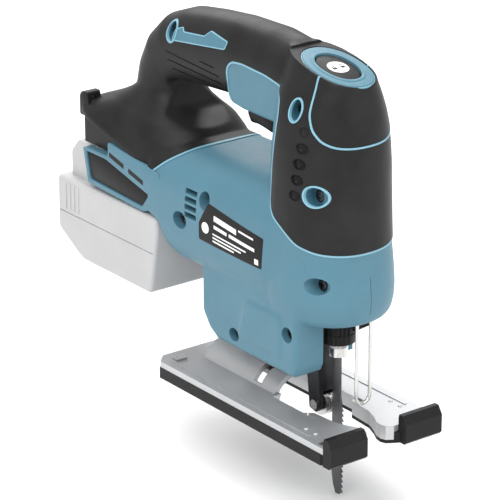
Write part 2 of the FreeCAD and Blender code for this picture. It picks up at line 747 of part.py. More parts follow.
def handle_ovals(less):
    """The handle from the head, round the rear bend and down the neck."""
    tall = f"handle_height / 2 - {less}"
    wide = f"handle_width / 2 - {less}"
    neck = f"neck_radius - {less}"
    return [
        (-20, "handle_rise - 1", f"{tall} + 1", f"{wide} + 0.4", -90),
        (-45, "handle_rise + 1.8", f"{tall} + 0.5", wide, -90),
        (-80, "handle_rise + 0.3", tall, wide, -90),
        (-112, "handle_rise - 1.5", f"{tall} - 0.5", wide, -90),
        ("-neck_back + 14", "handle_rise - 8.5", f"{tall} - 2", wide, -135),
        ("-neck_back", "handle_rise - 30", neck, f"({neck}) * 0.95", -180),
        ("-neck_back", "handle_rise - 44", neck, f"({neck}) * 0.95", -180),
    ]


def skirt_ovals(less):
    """The skirt that flares from the neck over the battery's ceiling."""
    rows = (
        # x, height, half length over the neck's, half width over the neck's
        (0, 123, 0, -1),
        (0.5, 110, 13, 8),
        (1.5, 97, 30, 14),
        (3, 76, 33, 16),
    )
    return [(f"{back} - neck_back", height, f"neck_radius + {longer} - ({less})",
             f"neck_radius + {wider} - ({less})") for back, height, longer, wider in rows]


def build_handle():
    """The soft black handle, neck and skirt, in right and left halves."""
    bar = loft("handle_bar", handle_ovals(0))
    skirt = loft("skirt_solid", skirt_ovals(0))
    tail = side_pad("skirt_apron", [
        ("-100", "104"),
        ("-body_back + 24", "101.5"),
        ("-body_back + 14", "98"),
        ("-118", "90"),
        ("-131", "80"),
        ("-184", "94"),
        ("-196", "94"),
        ("-196", "104"),
        ("-164", "122"),
        ("-134", "122"),
        ("-118", "108"),
    ], "neck_radius * 3.4")
    rim = side_pad("skirt_rim", [
        ("-60", "60"),
        ("-60", "103"),
        ("-85", "99.5"),
        ("-105", "96"),
        ("-118", "89"),
        ("-131", "80"),
        ("-182", "94"),
        ("-210", "98"),
        ("-210", "60"),
    ], 120)
    full = common("skirt_trimmed", skirt, tail)
    outer = cut("handle_outer", fuse("handle_whole", bar, cut("skirt_rimmed", full, rim)),
                body_block("barrel_clear", 0, "-body_back"),
                head_solid("head_clear", 0), side_pad("cheek_clear", [
                    ("-190", "50"), ("-190", "79"), ("-160.7", "79.5"), ("-160.7", "88"),
                    ("-body_back - 1", "82.5"), ("-body_back - 1", "50")], "cheek_half * 2"))
    core_clear = box("core_clear", (-166, -134), (-11, 11), (70, 100))
    room = fuse("handle_rooms", loft("handle_room", handle_ovals("shell")),
                common("skirt_room", loft("skirt_inner", skirt_ovals("shell")),
                       box("skirt_room_low", (-220, -60), (-60, 60), (60, 101))))
    bosses, drills = screw_bosses("handle", lambda name: name in IN_HANDLE)
    slot = box("trigger_slot", (-70.5, -45.5), ("-trigger_width / 2 - 0.4", "trigger_width / 2 + 0.4"),
               (110, "handle_rise - 4"))
    hollow = cut("handle_hollow", outer, room)
    posts = common("handle_posts", fuse("handle_boss_set", *bosses), outer)
    keep_halves("handle_grip", cut("handle_solid", fuse("handle_posted", hollow, posts),
                                   slot, core_clear, crown_cutter("handle_trim", 0), *drills))


def build_controls():
    """Trigger, switch, lock button with its bezel, and the wiring blocks."""
    keep("trigger", cut("trigger_solid", side_pad("trigger_block", [
        ("-69", "121"),
        ("-66", "118.6"),
        ("-57", "120.2"),
        ("-50", "118"),
        ("-47", "119"),
        ("-47", "136"),
        ("-69", "136"),
    ], "trigger_width", round_by=1.2, pick=lambda edge: edge.CenterOfMass.z < 121),
        box("trigger_hollow", (-66, -50), ("2 - trigger_width / 2", "trigger_width / 2 - 2"),
            (126, 140))))
    keep("switch_unit", box("switch_block", (-76, -42), (-11, 11),
                            ("136 + trigger_travel + 1", "handle_rise + 13")))
    keep("switch_leads", group("lead_pair", [
        rod("lead", "x", (y, "handle_rise + 2"), 1.2, (-118, -76)) for y in (-4, 4)]))
    ring = crown_oval("bezel_ring", 23, 15, -2.9, 1.2)
    mouth = crown_oval("bezel_mouth", 14.9, 9.7, -9, 6)
    keep("button_bezel", cut("bezel_solid", ring, mouth))
    keep("lock_button", crown_oval("button_solid", 14.6, 9.4, -3.6, 1))
    keep("button_emblem", crown_oval("emblem_disc", 5.8, 5.8, 1, 1.2))
    keep("button_switch", box("button_switch_block", (-22, -6), (-9, 9), (152, 157.9)))
    keep("controller_board", box("board", ("wall + 0.2 - body_back", -104), (-20, 20),
                                 ("motor_rise + 25.5", "motor_rise + 29")))


def crown_oval(name, major, minor, low, high):
    """An oval disc lying parallel to the sloping crown, low to high above it."""
    ovals = []
    for rise in (low, high):
        item = doc.addObject("Part::Ellipse", f"{name}_edge")
        link(item, "MajorRadius", major)
        link(item, "MinorRadius", minor)
        item.Placement = Placement(Vector(), Rotation(Vector(0, 1, 0), read("top_slope")))
        link(item, "Placement.Rotation.Angle", "top_slope")
        place(item, f"-2.9 + ({rise}) * sin(top_slope * 1deg)", 0,
              f"{CROWN} + 1.9 * tan(top_slope * 1deg) + ({rise}) * cos(top_slope * 1deg)")
        ovals.append(item)
    disc = doc.addObject("Part::Loft", name)
    disc.Sections = ovals
    disc.Solid = True
    disc.Ruled = True
    return disc


# ------------------------------------------------------- motor and gearing

def involute(angle):
    """How far an involute has unwound at a pressure angle."""
    return math.tan(angle) - angle


def tooth(count, module, reach, root):
    """One gear tooth pointing up, its flanks involutes of the base circle."""
    pressure = math.radians(25)
    backlash = 0.86
    pitch = count * module / 2
    base = pitch * math.cos(pressure)
    half = math.pi / (2 * count) * backlash + involute(pressure)
    flank = []
    steps = 4
    for step in range(steps + 1):
        radius = root - 0.2 + (reach - root + 0.2) * step / steps
        angle = half - involute(math.acos(min(1, base / max(radius, base))))
        flank.append((radius * math.sin(angle), radius * math.cos(angle)))
    return [(f"{-x}", f"{y}") for x, y in flank] + [(f"{x}", f"{y}") for x, y in reversed(flank)]


def toothed(name, teeth, bore, turned):
    """A gear on the X axis: a blank, one tooth, and the tooth repeated."""
    count = round(read(teeth))
    module = read("tooth_module")
    pitch = count * module / 2
    root = pitch - 1.15 * module
    body, sketch = start_body(name, "YZ", "-gear_back")
    draw_circle(sketch, f"{teeth} * tooth_module / 2 - 1.15 * tooth_module")
    blank = body.newObject("PartDesign::Pad", f"{name}_blank")
    blank.Profile = sketch
    link(blank, "Length", "gear_width")
    mark = add_sketch(body, f"{name}_tooth_outline", "YZ", "-gear_back")
    draw(mark, tooth(count, module, pitch + 0.8 * module, root))
    single = body.newObject("PartDesign::Pad", f"{name}_tooth")
    single.Profile = mark
    link(single, "Length", "gear_width")
    ring = body.newObject("PartDesign::PolarPattern", f"{name}_teeth")
    ring.Originals = [single]
    ring.Axis = (mark, ["N_Axis"])
    ring.Angle = 360
    link(ring, "Occurrences", teeth)
    body.Tip = ring
    body.Placement = Placement(Vector(), Rotation(Vector(1, 0, 0), turned))
    return cut(f"{name}_bored", body, rod(f"{name}_bore", "x", (0, 0), bore,
                                          ("-gear_back - 1", "gear_width - gear_back + 1")))


def build_motor():
    """Field can, bearings, brushes and everything on the armature shaft."""
    axis = (0, "motor_rise")
    back = "-body_back"
    can = tube("can_tube", "x", axis, "can_radius", "core_radius + 0.8", (-104, -58))
    window = box("brush_window", (-104.5, -98.2), (-21, 21), ("motor_rise - 3.6", "motor_rise + 3.6"))
    keep("motor_field", cut("field_solid", can, window))
    keep("armature_shaft", rod("shaft_solid", "x", axis, "shaft_radius",
                               (f"{back} + wall + 0.5", "-gear_back + gear_width + 1")))
    core = tube("core_blank", "x", axis, "core_radius", "shaft_radius", (-98, -62))
    slots = []
    for count in range(6):
        turn = math.radians(60 * count + 15)
        slots.append(rod("core_slot", "x", (f"{math.sin(turn)} * (core_radius - 1.5)",
                                            f"motor_rise + {math.cos(turn)} * (core_radius - 1.5)"),
                         2, (-99, -61)))
    keep("armature_core", cut("core_solid", core, *slots))
    keep("commutator", tube("commutator_solid", "x", axis, 8, "shaft_radius", (-103, -98.4)))
    hub = tube("fan_hub", "x", axis, 7, "shaft_radius", (-56, -46))
    disc = tube("fan_disc", "x", axis, "can_radius - 1", 6.5, (-56, -54))
    vanes = []
    for count in range(9):
        vane = box("fan_vane", (-55, -47), (6, "can_radius - 1.5"), (-0.7, 0.7))
        vane.Placement = Placement(Vector(), Rotation(Vector(1, 0, 0), 40 * count))
        turn = math.radians(40 * count)
        start = Vector(-55, 6 * math.cos(turn) + 0.7 * math.sin(turn),
                       6 * math.sin(turn) - 0.7 * math.cos(turn))
        place(vane, start.x, start.y, f"motor_rise + {start.z}")
        vanes.append(vane)
    keep("cooling_fan", fuse("fan_solid", hub, disc, *vanes))
    pinion = toothed("pinion_blank", "pinion_teeth", "shaft_radius", 18)
    link(pinion, "Placement.Base.z", f"{DECK} + motor_rise")
    keep("motor_pinion", pinion, raised=False)
    keep("motor_bearings", group("bearing_pair", [
        tube("bearing", "x", axis, 8, "shaft_radius + 0.03", span)
        for span in ((f"{back} + wall + 0.6", f"{back} + wall + 5.6"), (-30.4, -25.6))]))
    brushes = []
    for side in (-1, 1):
        near, far = sorted((side * 8.2, side * 20))
        brushes.append(box("brush", (-102.8, -98.8), (near, far), ("motor_rise - 3", "motor_rise + 3")))
    ring = tube("brush_ring", "x", axis, "can_radius - 2", 12, (-107.8, -104.4))
    keep("brush_ring", ring)
    keep("brushes", cut("brush_clear", group("brush_pair", brushes),
                        rod("brush_face", "x", axis, 8.1, (-110, -90))))


FRAME_PLATE = (-27.5, -25.3)


def build_drive():
    """Gear frame, crank gear and the parts that carry the blade."""
    low_bush = (47, 57)
    high_bush = (112, 120)
    across = "(rod_radius + bush_wall)"
    plate = box("frame_plate", FRAME_PLATE, (-19, 19), (low_bush[0], high_bush[1]))
    arms = [box("frame_arm", (FRAME_PLATE[1] - 0.3, f"{across} + 2.5"),
                (f"-{across} - 2.5", f"{across} + 2.5"), span) for span in (low_bush, high_bush)]
    cores = [rod("frame_bore", "z", (0, 0), across, (40, 125)),
             rod("frame_bearing_seat", "x", (0, "motor_rise"), 8.05, (-34, -20)),
             rod("frame_pin_seat", "x", (0, GEAR_RISE), 3, (-34, -20))]
    keep("gear_frame", cut("frame_solid", fuse("frame_blank", plate, *arms), *cores))
    keep("plunger_bushes", group("bush_pair", [
        tube("bush", "z", (0, 0), across, "rod_radius + rod_play", span)
        for span in (low_bush, high_bush)]))
    keep("gear_pin", rod("gear_pin_solid", "x", (0, GEAR_RISE), 3,
                         (FRAME_PLATE[0], "gear_width - gear_back - 0.4")))
    gear = toothed("gear_blank", "gear_teeth", "3.04", 0)
    pin = rod("crank_pin", "x", (0, "-stroke / 2"), "crank_pin_radius",
              ("gear_width - gear_back - 0.5", -14.2))
    boss = rod("crank_boss", "x", (0, "-stroke / 2"), "crank_pin_radius + 1.5",
               ("gear_width - gear_back - 0.5", "gear_width - gear_back + 0.8"))
    weight = rod("gear_window", "x", (0, "stroke / 2"), 4, (-30, 0))
    crank = cut("gear_and_pin", fuse("gear_with_pin", gear, pin, boss), weight)
    link(crank, "Placement.Base.z", f"{DECK} + {GEAR_RISE}")
    keep("crank_gear", crank, raised=False)

    keep("plunger_rod", rod("rod_solid", "z", (0, 0), "rod_radius", (17, high_bush[1] + 0.6)))
    slot_half = "(stroke / 2 + crank_pin_radius + 0.3)"
    tall = "(yoke_slot / 2 + 3.2)"
    plate = box("yoke_plate", (-12.8, -6), (f"-{slot_half} - 2.6", f"{slot_half} + 2.6"),
                (f"{YOKE_RISE} - {tall}", f"{YOKE_RISE} + {tall}"))
    block = box("yoke_block", (-7, "rod_radius + 1.3"), (-7, 7),
                (f"{YOKE_RISE} - {tall}", f"{YOKE_RISE} + {tall}"))
    slot = box("yoke_slot_cut", (-14, -7.4), (f"-{slot_half}", slot_half),
               (f"{YOKE_RISE} - yoke_slot / 2", f"{YOKE_RISE} + yoke_slot / 2"))
    bore = rod("yoke_bore", "z", (0, 0), "rod_radius", (40, 110))
    keep("scotch_yoke", cut("yoke_solid", fuse("yoke_blank", plate, block), slot, bore))

    body, sketch = start_body("holder_body", "XZ")
    draw(sketch, [("0", "5"), ("holder_radius - 1.6", "5"), ("holder_radius - 1.4", "10"),
                  ("holder_radius", "13"), ("holder_radius", "17.6"), ("holder_radius - 1", "18.6"),
                  ("0", "18.6")])
    turned = body.newObject("PartDesign::Revolution", "holder_turned")
    turned.Profile = sketch
    turned.ReferenceAxis = (sketch, ["V_Axis"])
    link(turned, "Angle", 360)
    slit = box("holder_slit", ("-blade_width / 2 - 0.1", "blade_width / 2 - 0.6"),
               ("-blade_thick / 2", "blade_thick / 2"), (4, 16.6))
    socket = rod("holder_socket", "z", (0, 0), "rod_radius", (17, 20))
    keep("blade_holder", cut("holder_solid", body, slit, socket))
    build_blade()


def build_blade():
    """A saw blade: tang, body with a sloped tip, and one tooth repeated."""
    tip = f"(-blade_drop - {DECK})"
    back = "(0.5 - blade_width / 2)"
    gullet = "(blade_width / 2 - 0.9)"
    front = "(blade_width / 2 + 0.6)"
    blank = pad("blade_blank", "XZ", [
        (back, "5"),
        (back, f"{tip} + 12"),
        (f"{back} + 1.2", f"{tip} + 5"),
        (f"{back} + 3.4", tip),
        (f"{gullet} - 0.6", tip),
        (gullet, f"{tip} + 0.6"),
        (gullet, "-22"),
        (f"{gullet} - 0.9", "-19"),
        (f"{gullet} - 0.9", "16.6"),
        ("-0.5 - blade_width / 4", "16.6"),
        ("-0.5 - blade_width / 4", "5"),
    ], "blade_thick", both_ways=True)
    mark = add_sketch(blank, "tooth_outline", "XZ")
    draw(mark, [(f"{gullet} - 0.3", f"{tip} + 1"), (front, f"{tip} + 1.5"),
                (f"{gullet} - 0.3", f"{tip} + 1 + tooth_pitch * 0.9")])
    single = blank.newObject("PartDesign::Pad", "first_tooth")
    single.Profile = mark
    single.SideType = "Symmetric"
    link(single, "Length", "blade_thick")
    row = blank.newObject("PartDesign::LinearPattern", "tooth_row")
    row.Originals = [single]
    row.Direction = (mark, ["V_Axis"])
    teeth = f"floor((-22 - {tip} - 2) / tooth_pitch)"
    link(row, "Length", f"tooth_pitch * ({teeth} - 1)")
    link(row, "Occurrences", teeth)
    blank.Tip = row
    keep("saw_blade", blank)


# ------------------------------------------------ opener, roller and guard

def build_front():
    """Tool opener, roller and arm, guard wire, light and orbital lever."""
    tubed = tube("opener_tube", "z", (0, 0), "collar_radius", "collar_bore", (13, 28.4))
    lever = pad("opener_lever", "XY", [("collar_radius - 1.4", "-3.2"), ("18.4", "-2.4"),
                                      ("18.4", "2.4"), ("collar_radius - 1.4", "3.2")],
                8.4, rise=20)
    slope = side_pad("opener_slope", [("9", "19"), ("19", "19"), ("19", "25")], 20)
    tail = cut("opener_tail", lever, slope)
    tail.Placement = Placement(Vector(), Rotation(Vector(0, 0, 1), 40))
    ribs = [box("opener_rib", ("-collar_radius - 0.5", "-collar_radius + 0.6"),
                (y - 0.8, y + 0.8), (14, 27)) for y in (-3, 0, 3)]
    keep("tool_opener", fuse("opener_solid", tubed, tail, *ribs))

    roller_drop = f"(11 - {DECK})"
    roller_back = "(-roller_radius - 3.9)"
    arm = side_pad("arm_block", [
        ("-21", "17"),
        ("-22", "6"),
        (f"{roller_back} - 6.5", f"{roller_drop} + 14"),
        (f"{roller_back} - 4.5", f"{roller_drop} - 3"),
        (f"{roller_back} + 1", f"{roller_drop} - 4.4"),
        (f"{roller_back} + 4.2", f"{roller_drop} - 2"),
        (f"{roller_back} + 4.2", f"{roller_drop} + 4"),
        ("-8.4", "0"),
        ("-11.4", "9"),
        ("-11.4", "17"),
    ], "arm_width", round_by=1.2, pick=runs_along("y"))
    fork = box("arm_fork", (-40, 0), ("-roller_width / 2 - 0.3", "roller_width / 2 + 0.3"),
               (-60, f"{roller_drop} + roller_radius + 1.2"))
    bore = rod("arm_bore", "y", ARM_AXIS, 2.04, (-20, 20))
    hole = rod("arm_roller_hole", "y", (roller_back, roller_drop), 1.5, (-20, 20))
    keep("roller_arm", cut("arm_solid", arm, fork, bore, hole))
    keep("arm_pivot_pin", rod("pivot_solid", "y", ARM_AXIS, 2, ("-blade_bay - 5", "blade_bay + 5")))
    wheel = rod("roller_wheel", "y", (roller_back, roller_drop), "roller_radius",
                ("-roller_width / 2", "roller_width / 2"))
    eye = rod("roller_eye", "y", (roller_back, roller_drop), 1.54, (-10, 10))
    groove = box("roller_groove", (f"{roller_back} - 10", f"{roller_back} + 10"),
                 (-0.8, 0.8), (f"{roller_drop} - 10", f"{roller_drop} + 10"))
    kerb = rod("roller_kerb", "y", (roller_back, roller_drop), "roller_radius - 1", (-2, 2))
    keep("guide_roller", cut("roller_solid", wheel, eye, cut("roller_groove_ring", groove, kerb)))
    axle = rod("axle_shank", "y", (roller_back, roller_drop), 1.5,
               ("-arm_width / 2 - 0.1", "arm_width / 2 + 0.8"))
    cap = rod("axle_cap", "y", (roller_back, roller_drop), 2.8,
              ("-arm_width / 2 - 1", "-arm_width / 2"))
    keep("roller_axle", fuse("axle_solid", axle, cap))

    low = "(wire_half + wire / 2 - 16)"
    legs = [rod("wire_leg", "z", ("wire_forward", f"{side} * wire_half"), "wire / 2",
                (low, 38)) for side in (-1, 1)]
    bend = doc.addObject("Part::Torus", "wire_bend")
    link(bend, "Radius1", "wire_half")
    link(bend, "Radius2", "wire / 2")
    bend.Angle3 = 180
    bend.Placement = Placement(Vector(), Rotation(Vector(0, 1, 0), 90) * Rotation(Vector(0, 0, 1), -90))
    place(bend, "wire_forward", 0, low)
    keep("guard_wire", fuse("guard_wire_solid", *legs, bend))
    keep("work_light", cone("light_solid", "z", LIGHT_SPOT, (2.6, 2), (29, 32.9)))

    disc = rod("lever_disc", "y", (-34, 20), 10.6, ("case_width / 2 - 2", "case_width / 2 + 2.6"))
    paddle = side_pad("lever_paddle_block", [
        ("-38", "24"), ("-36", "33.5"), ("-32", "33.5"), ("-30", "24")], 4)
    link(paddle, "Placement.Base.y", "case_width / 2 + 2.9")
    keep("orbital_lever", fuse("lever_solid", disc, paddle))


# ------------------------------------------------------------- the battery

def battery_outline(less):
    """The battery's side view, drawn in by less."""
    return [
        (f"-212 + {less}", f"55.4 - {less}"),
        (f"-212 + {less}", f"22 + {less} * 0.5"),
        (f"-188 + {less} * 0.5", f"9 + {less}"),
        (f"-120 - {less}", f"9 + {less}"),
        (f"-113.4 - {less}", f"49 - {less}"),
        (f"-114 - {less}", f"55.4 - {less}"),
    ]


def build_battery():
    """Battery case, its cells, its release button and the tool's terminals."""
    inner = "(cheek_half - cheek_wall - battery_slack)"
    groove = "(cheek_half - cheek_wall - rail_reach - battery_slack)"
    lower = side_pad("battery_block", battery_outline(0), "battery_width",
                     round_by=3, pick=lambda edge: abs(edge.CenterOfMass.y) > 30)
    room = side_pad("battery_room", battery_outline("1.8"), "battery_width - 4")
    upper = side_pad("battery_top", [("-206", "54"), ("-206", "70"), ("-199", "78.2"),
                                     ("-118", "78.2"), ("-118", "54")], f"{inner} * 2")
    cuts = []
    for side in (-1, 1):
        span = (groove, 40) if side > 0 else (-40, f"-{groove}")
        cuts.append(box("battery_groove", (-184, -100), span, ("67 - battery_slack", "71 + battery_slack")))
    trough = box("battery_trough", (-166, -100), (-12.5, 12.5), (64, 90))
    latch = box("latch_well", (-207, -199.5), (-13, 13), (57.6, 90))
    keep("battery_case", cut("battery_solid", fuse("battery_whole", cut(
        "battery_hollow", lower, room), upper), *cuts, trough, latch))
    cells = [rod("cell", "y", (x, height), "cell_radius", (-32.5, 32.5))
             for x in (-200, -182, -164, -146, -128) for height in (27.6, 44.9)]
    keep("battery_cells", group("cell_pack", cells))
    keep("battery_button", side_pad("button_block", [
        ("-206.5", "61"), ("-206.5", "72"), ("-203", "75"), ("-200", "75"), ("-200", "61")], 25.4,
        round_by=0.8, pick=runs_along("y")))
    keep("terminal_block", box("terminal_solid", (-160, -122), (-10, 10), (67, 79)))
    keep("terminals", group("terminal_set", [
        box("terminal", (-157, -128), (y - 0.4, y + 0.4), (64.8, 67)) for y in (-7, -2.4, 2.4, 7)]))
    keep("rating_label", pad("label_block", "XZ", [
        ("-74.5", "56.6"), ("-21.7", "54.6"), ("-20.1", "72.3"), ("-66.5", "79"), ("-74.5", "66"),
    ], 0.4, rise="body_width / 2"))


build_base()
build_bevel()
build_housing()
build_screws()
build_handle()
build_controls()
build_motor()
build_drive()
build_front()
build_battery()
doc.recompute()

for item in doc.Objects:
    if "Invalid" in item.State or "Error" in item.State:
        raise RuntimeError(f"{item.Name} did not build: {item.State}")

os.makedirs("parts", exist_ok=True)
for name, item in nodes.items():
    shape = item.Shape
    if shape.isNull() or not shape.isValid() or not shape.Solids:
        raise RuntimeError(f"{name} has no valid solid")
    shape.exportStep(f"parts/{name}.step")
    print(f"{name:18s} solids {len(shape.Solids)}  volume {shape.Volume:10.1f}")
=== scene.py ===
"""A cordless jigsaw, dressed for a plain studio picture.

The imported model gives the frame: every body, and where its nodes lie.  The
moulded shells, grips, battery and small fittings are made here and stand for
their nodes; the machined parts keep their nodes and get finishes.  Sizes in
the classes are millimetres, and meshes are metres.
"""

import logging
import math
from dataclasses import dataclass, field
from enum import Enum
from typing import Any, Callable, Iterable, Sequence

import bmesh
import bpy
import numpy as np
from mathutils import Matrix, Vector


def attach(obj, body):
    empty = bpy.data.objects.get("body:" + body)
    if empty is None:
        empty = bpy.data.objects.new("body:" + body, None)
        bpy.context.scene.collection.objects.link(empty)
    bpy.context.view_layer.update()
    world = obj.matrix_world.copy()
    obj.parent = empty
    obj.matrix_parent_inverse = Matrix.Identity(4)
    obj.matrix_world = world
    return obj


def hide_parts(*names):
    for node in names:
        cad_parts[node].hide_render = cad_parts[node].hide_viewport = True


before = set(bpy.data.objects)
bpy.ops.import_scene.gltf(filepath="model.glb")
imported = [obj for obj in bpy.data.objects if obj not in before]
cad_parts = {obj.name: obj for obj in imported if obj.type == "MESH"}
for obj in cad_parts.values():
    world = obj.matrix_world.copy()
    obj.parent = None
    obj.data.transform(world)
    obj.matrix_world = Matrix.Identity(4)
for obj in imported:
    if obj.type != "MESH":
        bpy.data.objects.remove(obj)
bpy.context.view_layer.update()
LOG = logging.getLogger("jigsaw")
MM = 0.001
FAR = 80  # past every surface, for cutting regions
WIDE = 60  # past both flanks, for cutting tools

Point = tuple[float, float]
Point3 = tuple[float, float, float]
Colour = tuple[float, float, float]


class Body(Enum):
    """The bodies that the pieces made here ride on."""

    TOOL = "tool"
    TRIGGER = "trigger"
    BUTTON = "lock_button"
    OPENER = "opener"
    BATTERY = "battery"
    BATTERY_BUTTON = "battery_button"


class Axis(Enum):
    """The direction an outline is pushed along."""

    X = 0
    Y = 1
    Z = 2


# ------------------------------------------------------------ shader maths


class Wire:
    """A shader value that Python operators can work on."""

    def __init__(self, recipe: "Recipe", socket: bpy.types.NodeSocket) -> None:
        """Wrap one output socket of a recipe's node tree."""
        self.recipe = recipe
        self.socket = socket

    def _maths(self, operation: str, *values: Any) -> "Wire":
        """Add one Math node.

        Args:
            operation: the Math node's operation.
            values: what goes into its sockets, in order.

        Returns:
            The node's result.
        """
        node = self.recipe.node("ShaderNodeMath", {"operation": operation}, *values)
        return Wire(self.recipe, node.outputs[0])

    def __add__(self, other: Any) -> "Wire":
        """Sum of two values."""
        return self._maths("ADD", self, other)

    __radd__ = __add__

    def __sub__(self, other: Any) -> "Wire":
        """This value less another."""
        return self._maths("SUBTRACT", self, other)

    def __rsub__(self, other: Any) -> "Wire":
        """Another value less this one."""
        return self._maths("SUBTRACT", other, self)

    def __mul__(self, other: Any) -> "Wire":
        """Product of two values."""
        return self._maths("MULTIPLY", self, other)

    __rmul__ = __mul__

    def __truediv__(self, other: Any) -> "Wire":
        """This value divided by another."""
        return self._maths("DIVIDE", self, other)

    def __rtruediv__(self, other: Any) -> "Wire":
        """Another value divided by this one."""
        return self._maths("DIVIDE", other, self)

    def above(self, edge: float, soft: float) -> "Wire":
        """Nought below an edge, one above it, blended over a soft width."""
        return self.recipe.clamp((self - (edge - soft)) / (2 * soft))


class Recipe:
    """One material's node tree, built a node at a time."""

    def __init__(self, name: str) -> None:
        """Start an empty material of this name.

        Args:
            name: what it is called.
        """
        self.material = bpy.data.materials.new(name)
        self.material.use_nodes = True
        self.tree = self.material.node_tree
        self.tree.nodes.clear()
        self.exit = self.node("ShaderNodeOutputMaterial")

    def node(self, kind: str, settings: dict[str, Any] | None = None, *values: Any,
             **named: Any) -> bpy.types.Node:
        """Add one node.

        Args:
            kind: the node's type.
            settings: properties set before any socket.
            values: values or wires for the sockets, in order.
            named: values or wires by socket name, spaces as underscores.

        Returns:
            The new node.
        """
        made = self.tree.nodes.new(kind)
        for key, value in (settings or {}).items():
            setattr(made, key, value)
        for socket, value in [*zip(made.inputs, values),
                              *((made.inputs[key.replace("_", " ")], value)
                                for key, value in named.items())]:
            if isinstance(value, Wire):
                self.tree.links.new(value.socket, socket)
            elif value is not None:
                socket.default_value = value
        return made

    def wire(self, kind: str, output: str | int, settings: dict[str, Any] | None = None,
             **named: Any) -> Wire:
        """Add a node and take one of its outputs."""
        return Wire(self, self.node(kind, settings, **named).outputs[output])

    def spot(self, stretch: Point3 = (1, 1, 1)) -> Wire:
        """The surface point in metres, stretched."""
        place = self.wire("ShaderNodeTexCoord", "Object")
        return self.wire("ShaderNodeMapping", 0, Vector=place, Scale=stretch)

    def noise(self, size: float, detail: float = 2, rough: float = 0.5,
              stretch: Point3 = (1, 1, 1)) -> Wire:
        """Cloudy noise whose lumps are about a size in millimetres."""
        return self.wire("ShaderNodeTexNoise", "Fac", Vector=self.spot(stretch),
                         Scale=1000 / size, Detail=detail, Roughness=rough)

    def cells(self, size: float) -> Wire:
        """Distance to the nearest of scattered points a size apart."""
        return self.wire("ShaderNodeTexVoronoi", "Distance", Vector=self.spot(), Scale=1000 / size)

    def clamp(self, value: Any) -> Wire:
        """A value held between nought and one."""
        return Wire(self, self.node("ShaderNodeClamp", None, value).outputs[0])

    def mix(self, share: Any, low: Any, high: Any) -> Wire:
        """A colour between two, by a share from nought to one.

        Args:
            share: nought for the first colour, one for the second.
            low: the first colour.
            high: the second colour.

        Returns:
            The result as a shader value.
        """
        made = self.node("ShaderNodeMix", {"data_type": "RGBA"})
        for index, value in ((0, share), (6, low), (7, high)):
            if isinstance(value, Wire):
                self.tree.links.new(value.socket, made.inputs[index])
            elif index == 0:
                made.inputs[index].default_value = value
            else:
                made.inputs[index].default_value = (*value, 1)
        return Wire(self, made.outputs[2])

    def edges(self, width: float) -> Wire:
        """One near convex edges, from the spread of a rounded normal.

        Args:
            width: how wide the edges are, in millimetres.

        Returns:
            The result as a shader value.
        """
        bevel = self.wire("ShaderNodeBevel", "Normal", {"samples": 4}, Radius=width * MM)
        flat = self.wire("ShaderNodeNewGeometry", "Normal")
        dot = self.wire("ShaderNodeVectorMath", "Value", {"operation": "DOT_PRODUCT"})
        for wire, socket in ((bevel, 0), (flat, 1)):
            self.tree.links.new(wire.socket, dot.socket.node.inputs[socket])
        return (1 - dot).above(0.12, 0.1)

    def bump(self, height: Wire, depth: float, strength: float = 1.0) -> Wire:
        """A bumped normal from a height between nought and one."""
        return self.wire("ShaderNodeBump", "Normal", Height=height, Distance=depth * MM,
                         Strength=strength)

    def finish(self, **sockets: Any) -> bpy.types.Material:
        """Close the tree with a Principled shader.

        Args:
            sockets: its values and wires by socket name.

        Returns:
            The finished material.
        """
        skin = self.wire("ShaderNodeBsdfPrincipled", 0, None, **sockets)
        self.tree.links.new(skin.socket, self.exit.inputs["Surface"])
        return self.material


# ---------------------------------------------------------------- finishes


@dataclass(frozen=True)
class MouldedPlastic:
    """Moulded nylon: an eroded texture, faint cloudiness and convex edges lightened as a painted highlight.
    """

    name: str
    tint: Colour
    deep: Colour
    # Lighter colour for the grain speckle and for the painted highlight on convex edges.
    speckle_and_edge_highlight: Colour
    rough: float = 0.46
    grain: float = 0.55
    depth: float = 0.03
    shine: float = 0.45

    def material(self) -> bpy.types.Material:
        """Build the node material.

        Returns:
            The finished material.
        """
        recipe = Recipe(self.name)
        clouds = recipe.noise(26, 3, 0.55)
        fine = recipe.noise(self.grain, 3, 0.65)
        smudge = recipe.noise(7, 4, 0.6)
        base = recipe.mix(clouds.above(0.5, 0.3), self.deep, self.tint)
        speckled = recipe.mix(fine.above(0.62, 0.2) * 0.25, base, self.speckle_and_edge_highlight)
        # Painted highlight: convex edges lightened toward the lighter colour, broken up by noise.
        shade = recipe.mix(recipe.edges(0.5) * smudge * 0.5, speckled, self.speckle_and_edge_highlight)
        rough = recipe.clamp(self.rough + (smudge - 0.5) * 0.16 + (fine - 0.5) * 0.1)
        return recipe.finish(Base_Color=shade, Roughness=rough, Specular_IOR_Level=self.shine,
                             Normal=recipe.bump(fine, self.depth, 0.7))


@dataclass(frozen=True)
class SoftGrip:
    """Moulded elastomer: a leathery pebble with polish where hands rub."""

    name: str = "soft_black_grip"
    tint: Colour = (0.0085, 0.0085, 0.009)
    dusty: Colour = (0.026, 0.026, 0.026)
    pebble: float = 0.9
    shine: float = 0.14

    def material(self) -> bpy.types.Material:
        """Build the node material.

        Returns:
            The finished material.
        """
        recipe = Recipe(self.name)
        pebbles = recipe.cells(self.pebble)
        grit = recipe.noise(0.4, 2, 0.6)
        wear = recipe.noise(22, 3, 0.5)
        shade = recipe.mix(recipe.clamp(wear.above(0.5, 0.22) * 0.5 + grit * 0.3), self.tint, self.dusty)
        rough = recipe.clamp(0.4 + (wear - 0.5) * 0.3 + (grit - 0.5) * 0.12)
        height = recipe.clamp(pebbles * 0.8 + grit * 0.4)
        return recipe.finish(Base_Color=shade, Roughness=rough, Specular_IOR_Level=self.shine,
                             Normal=recipe.bump(height, 0.05, 0.6))


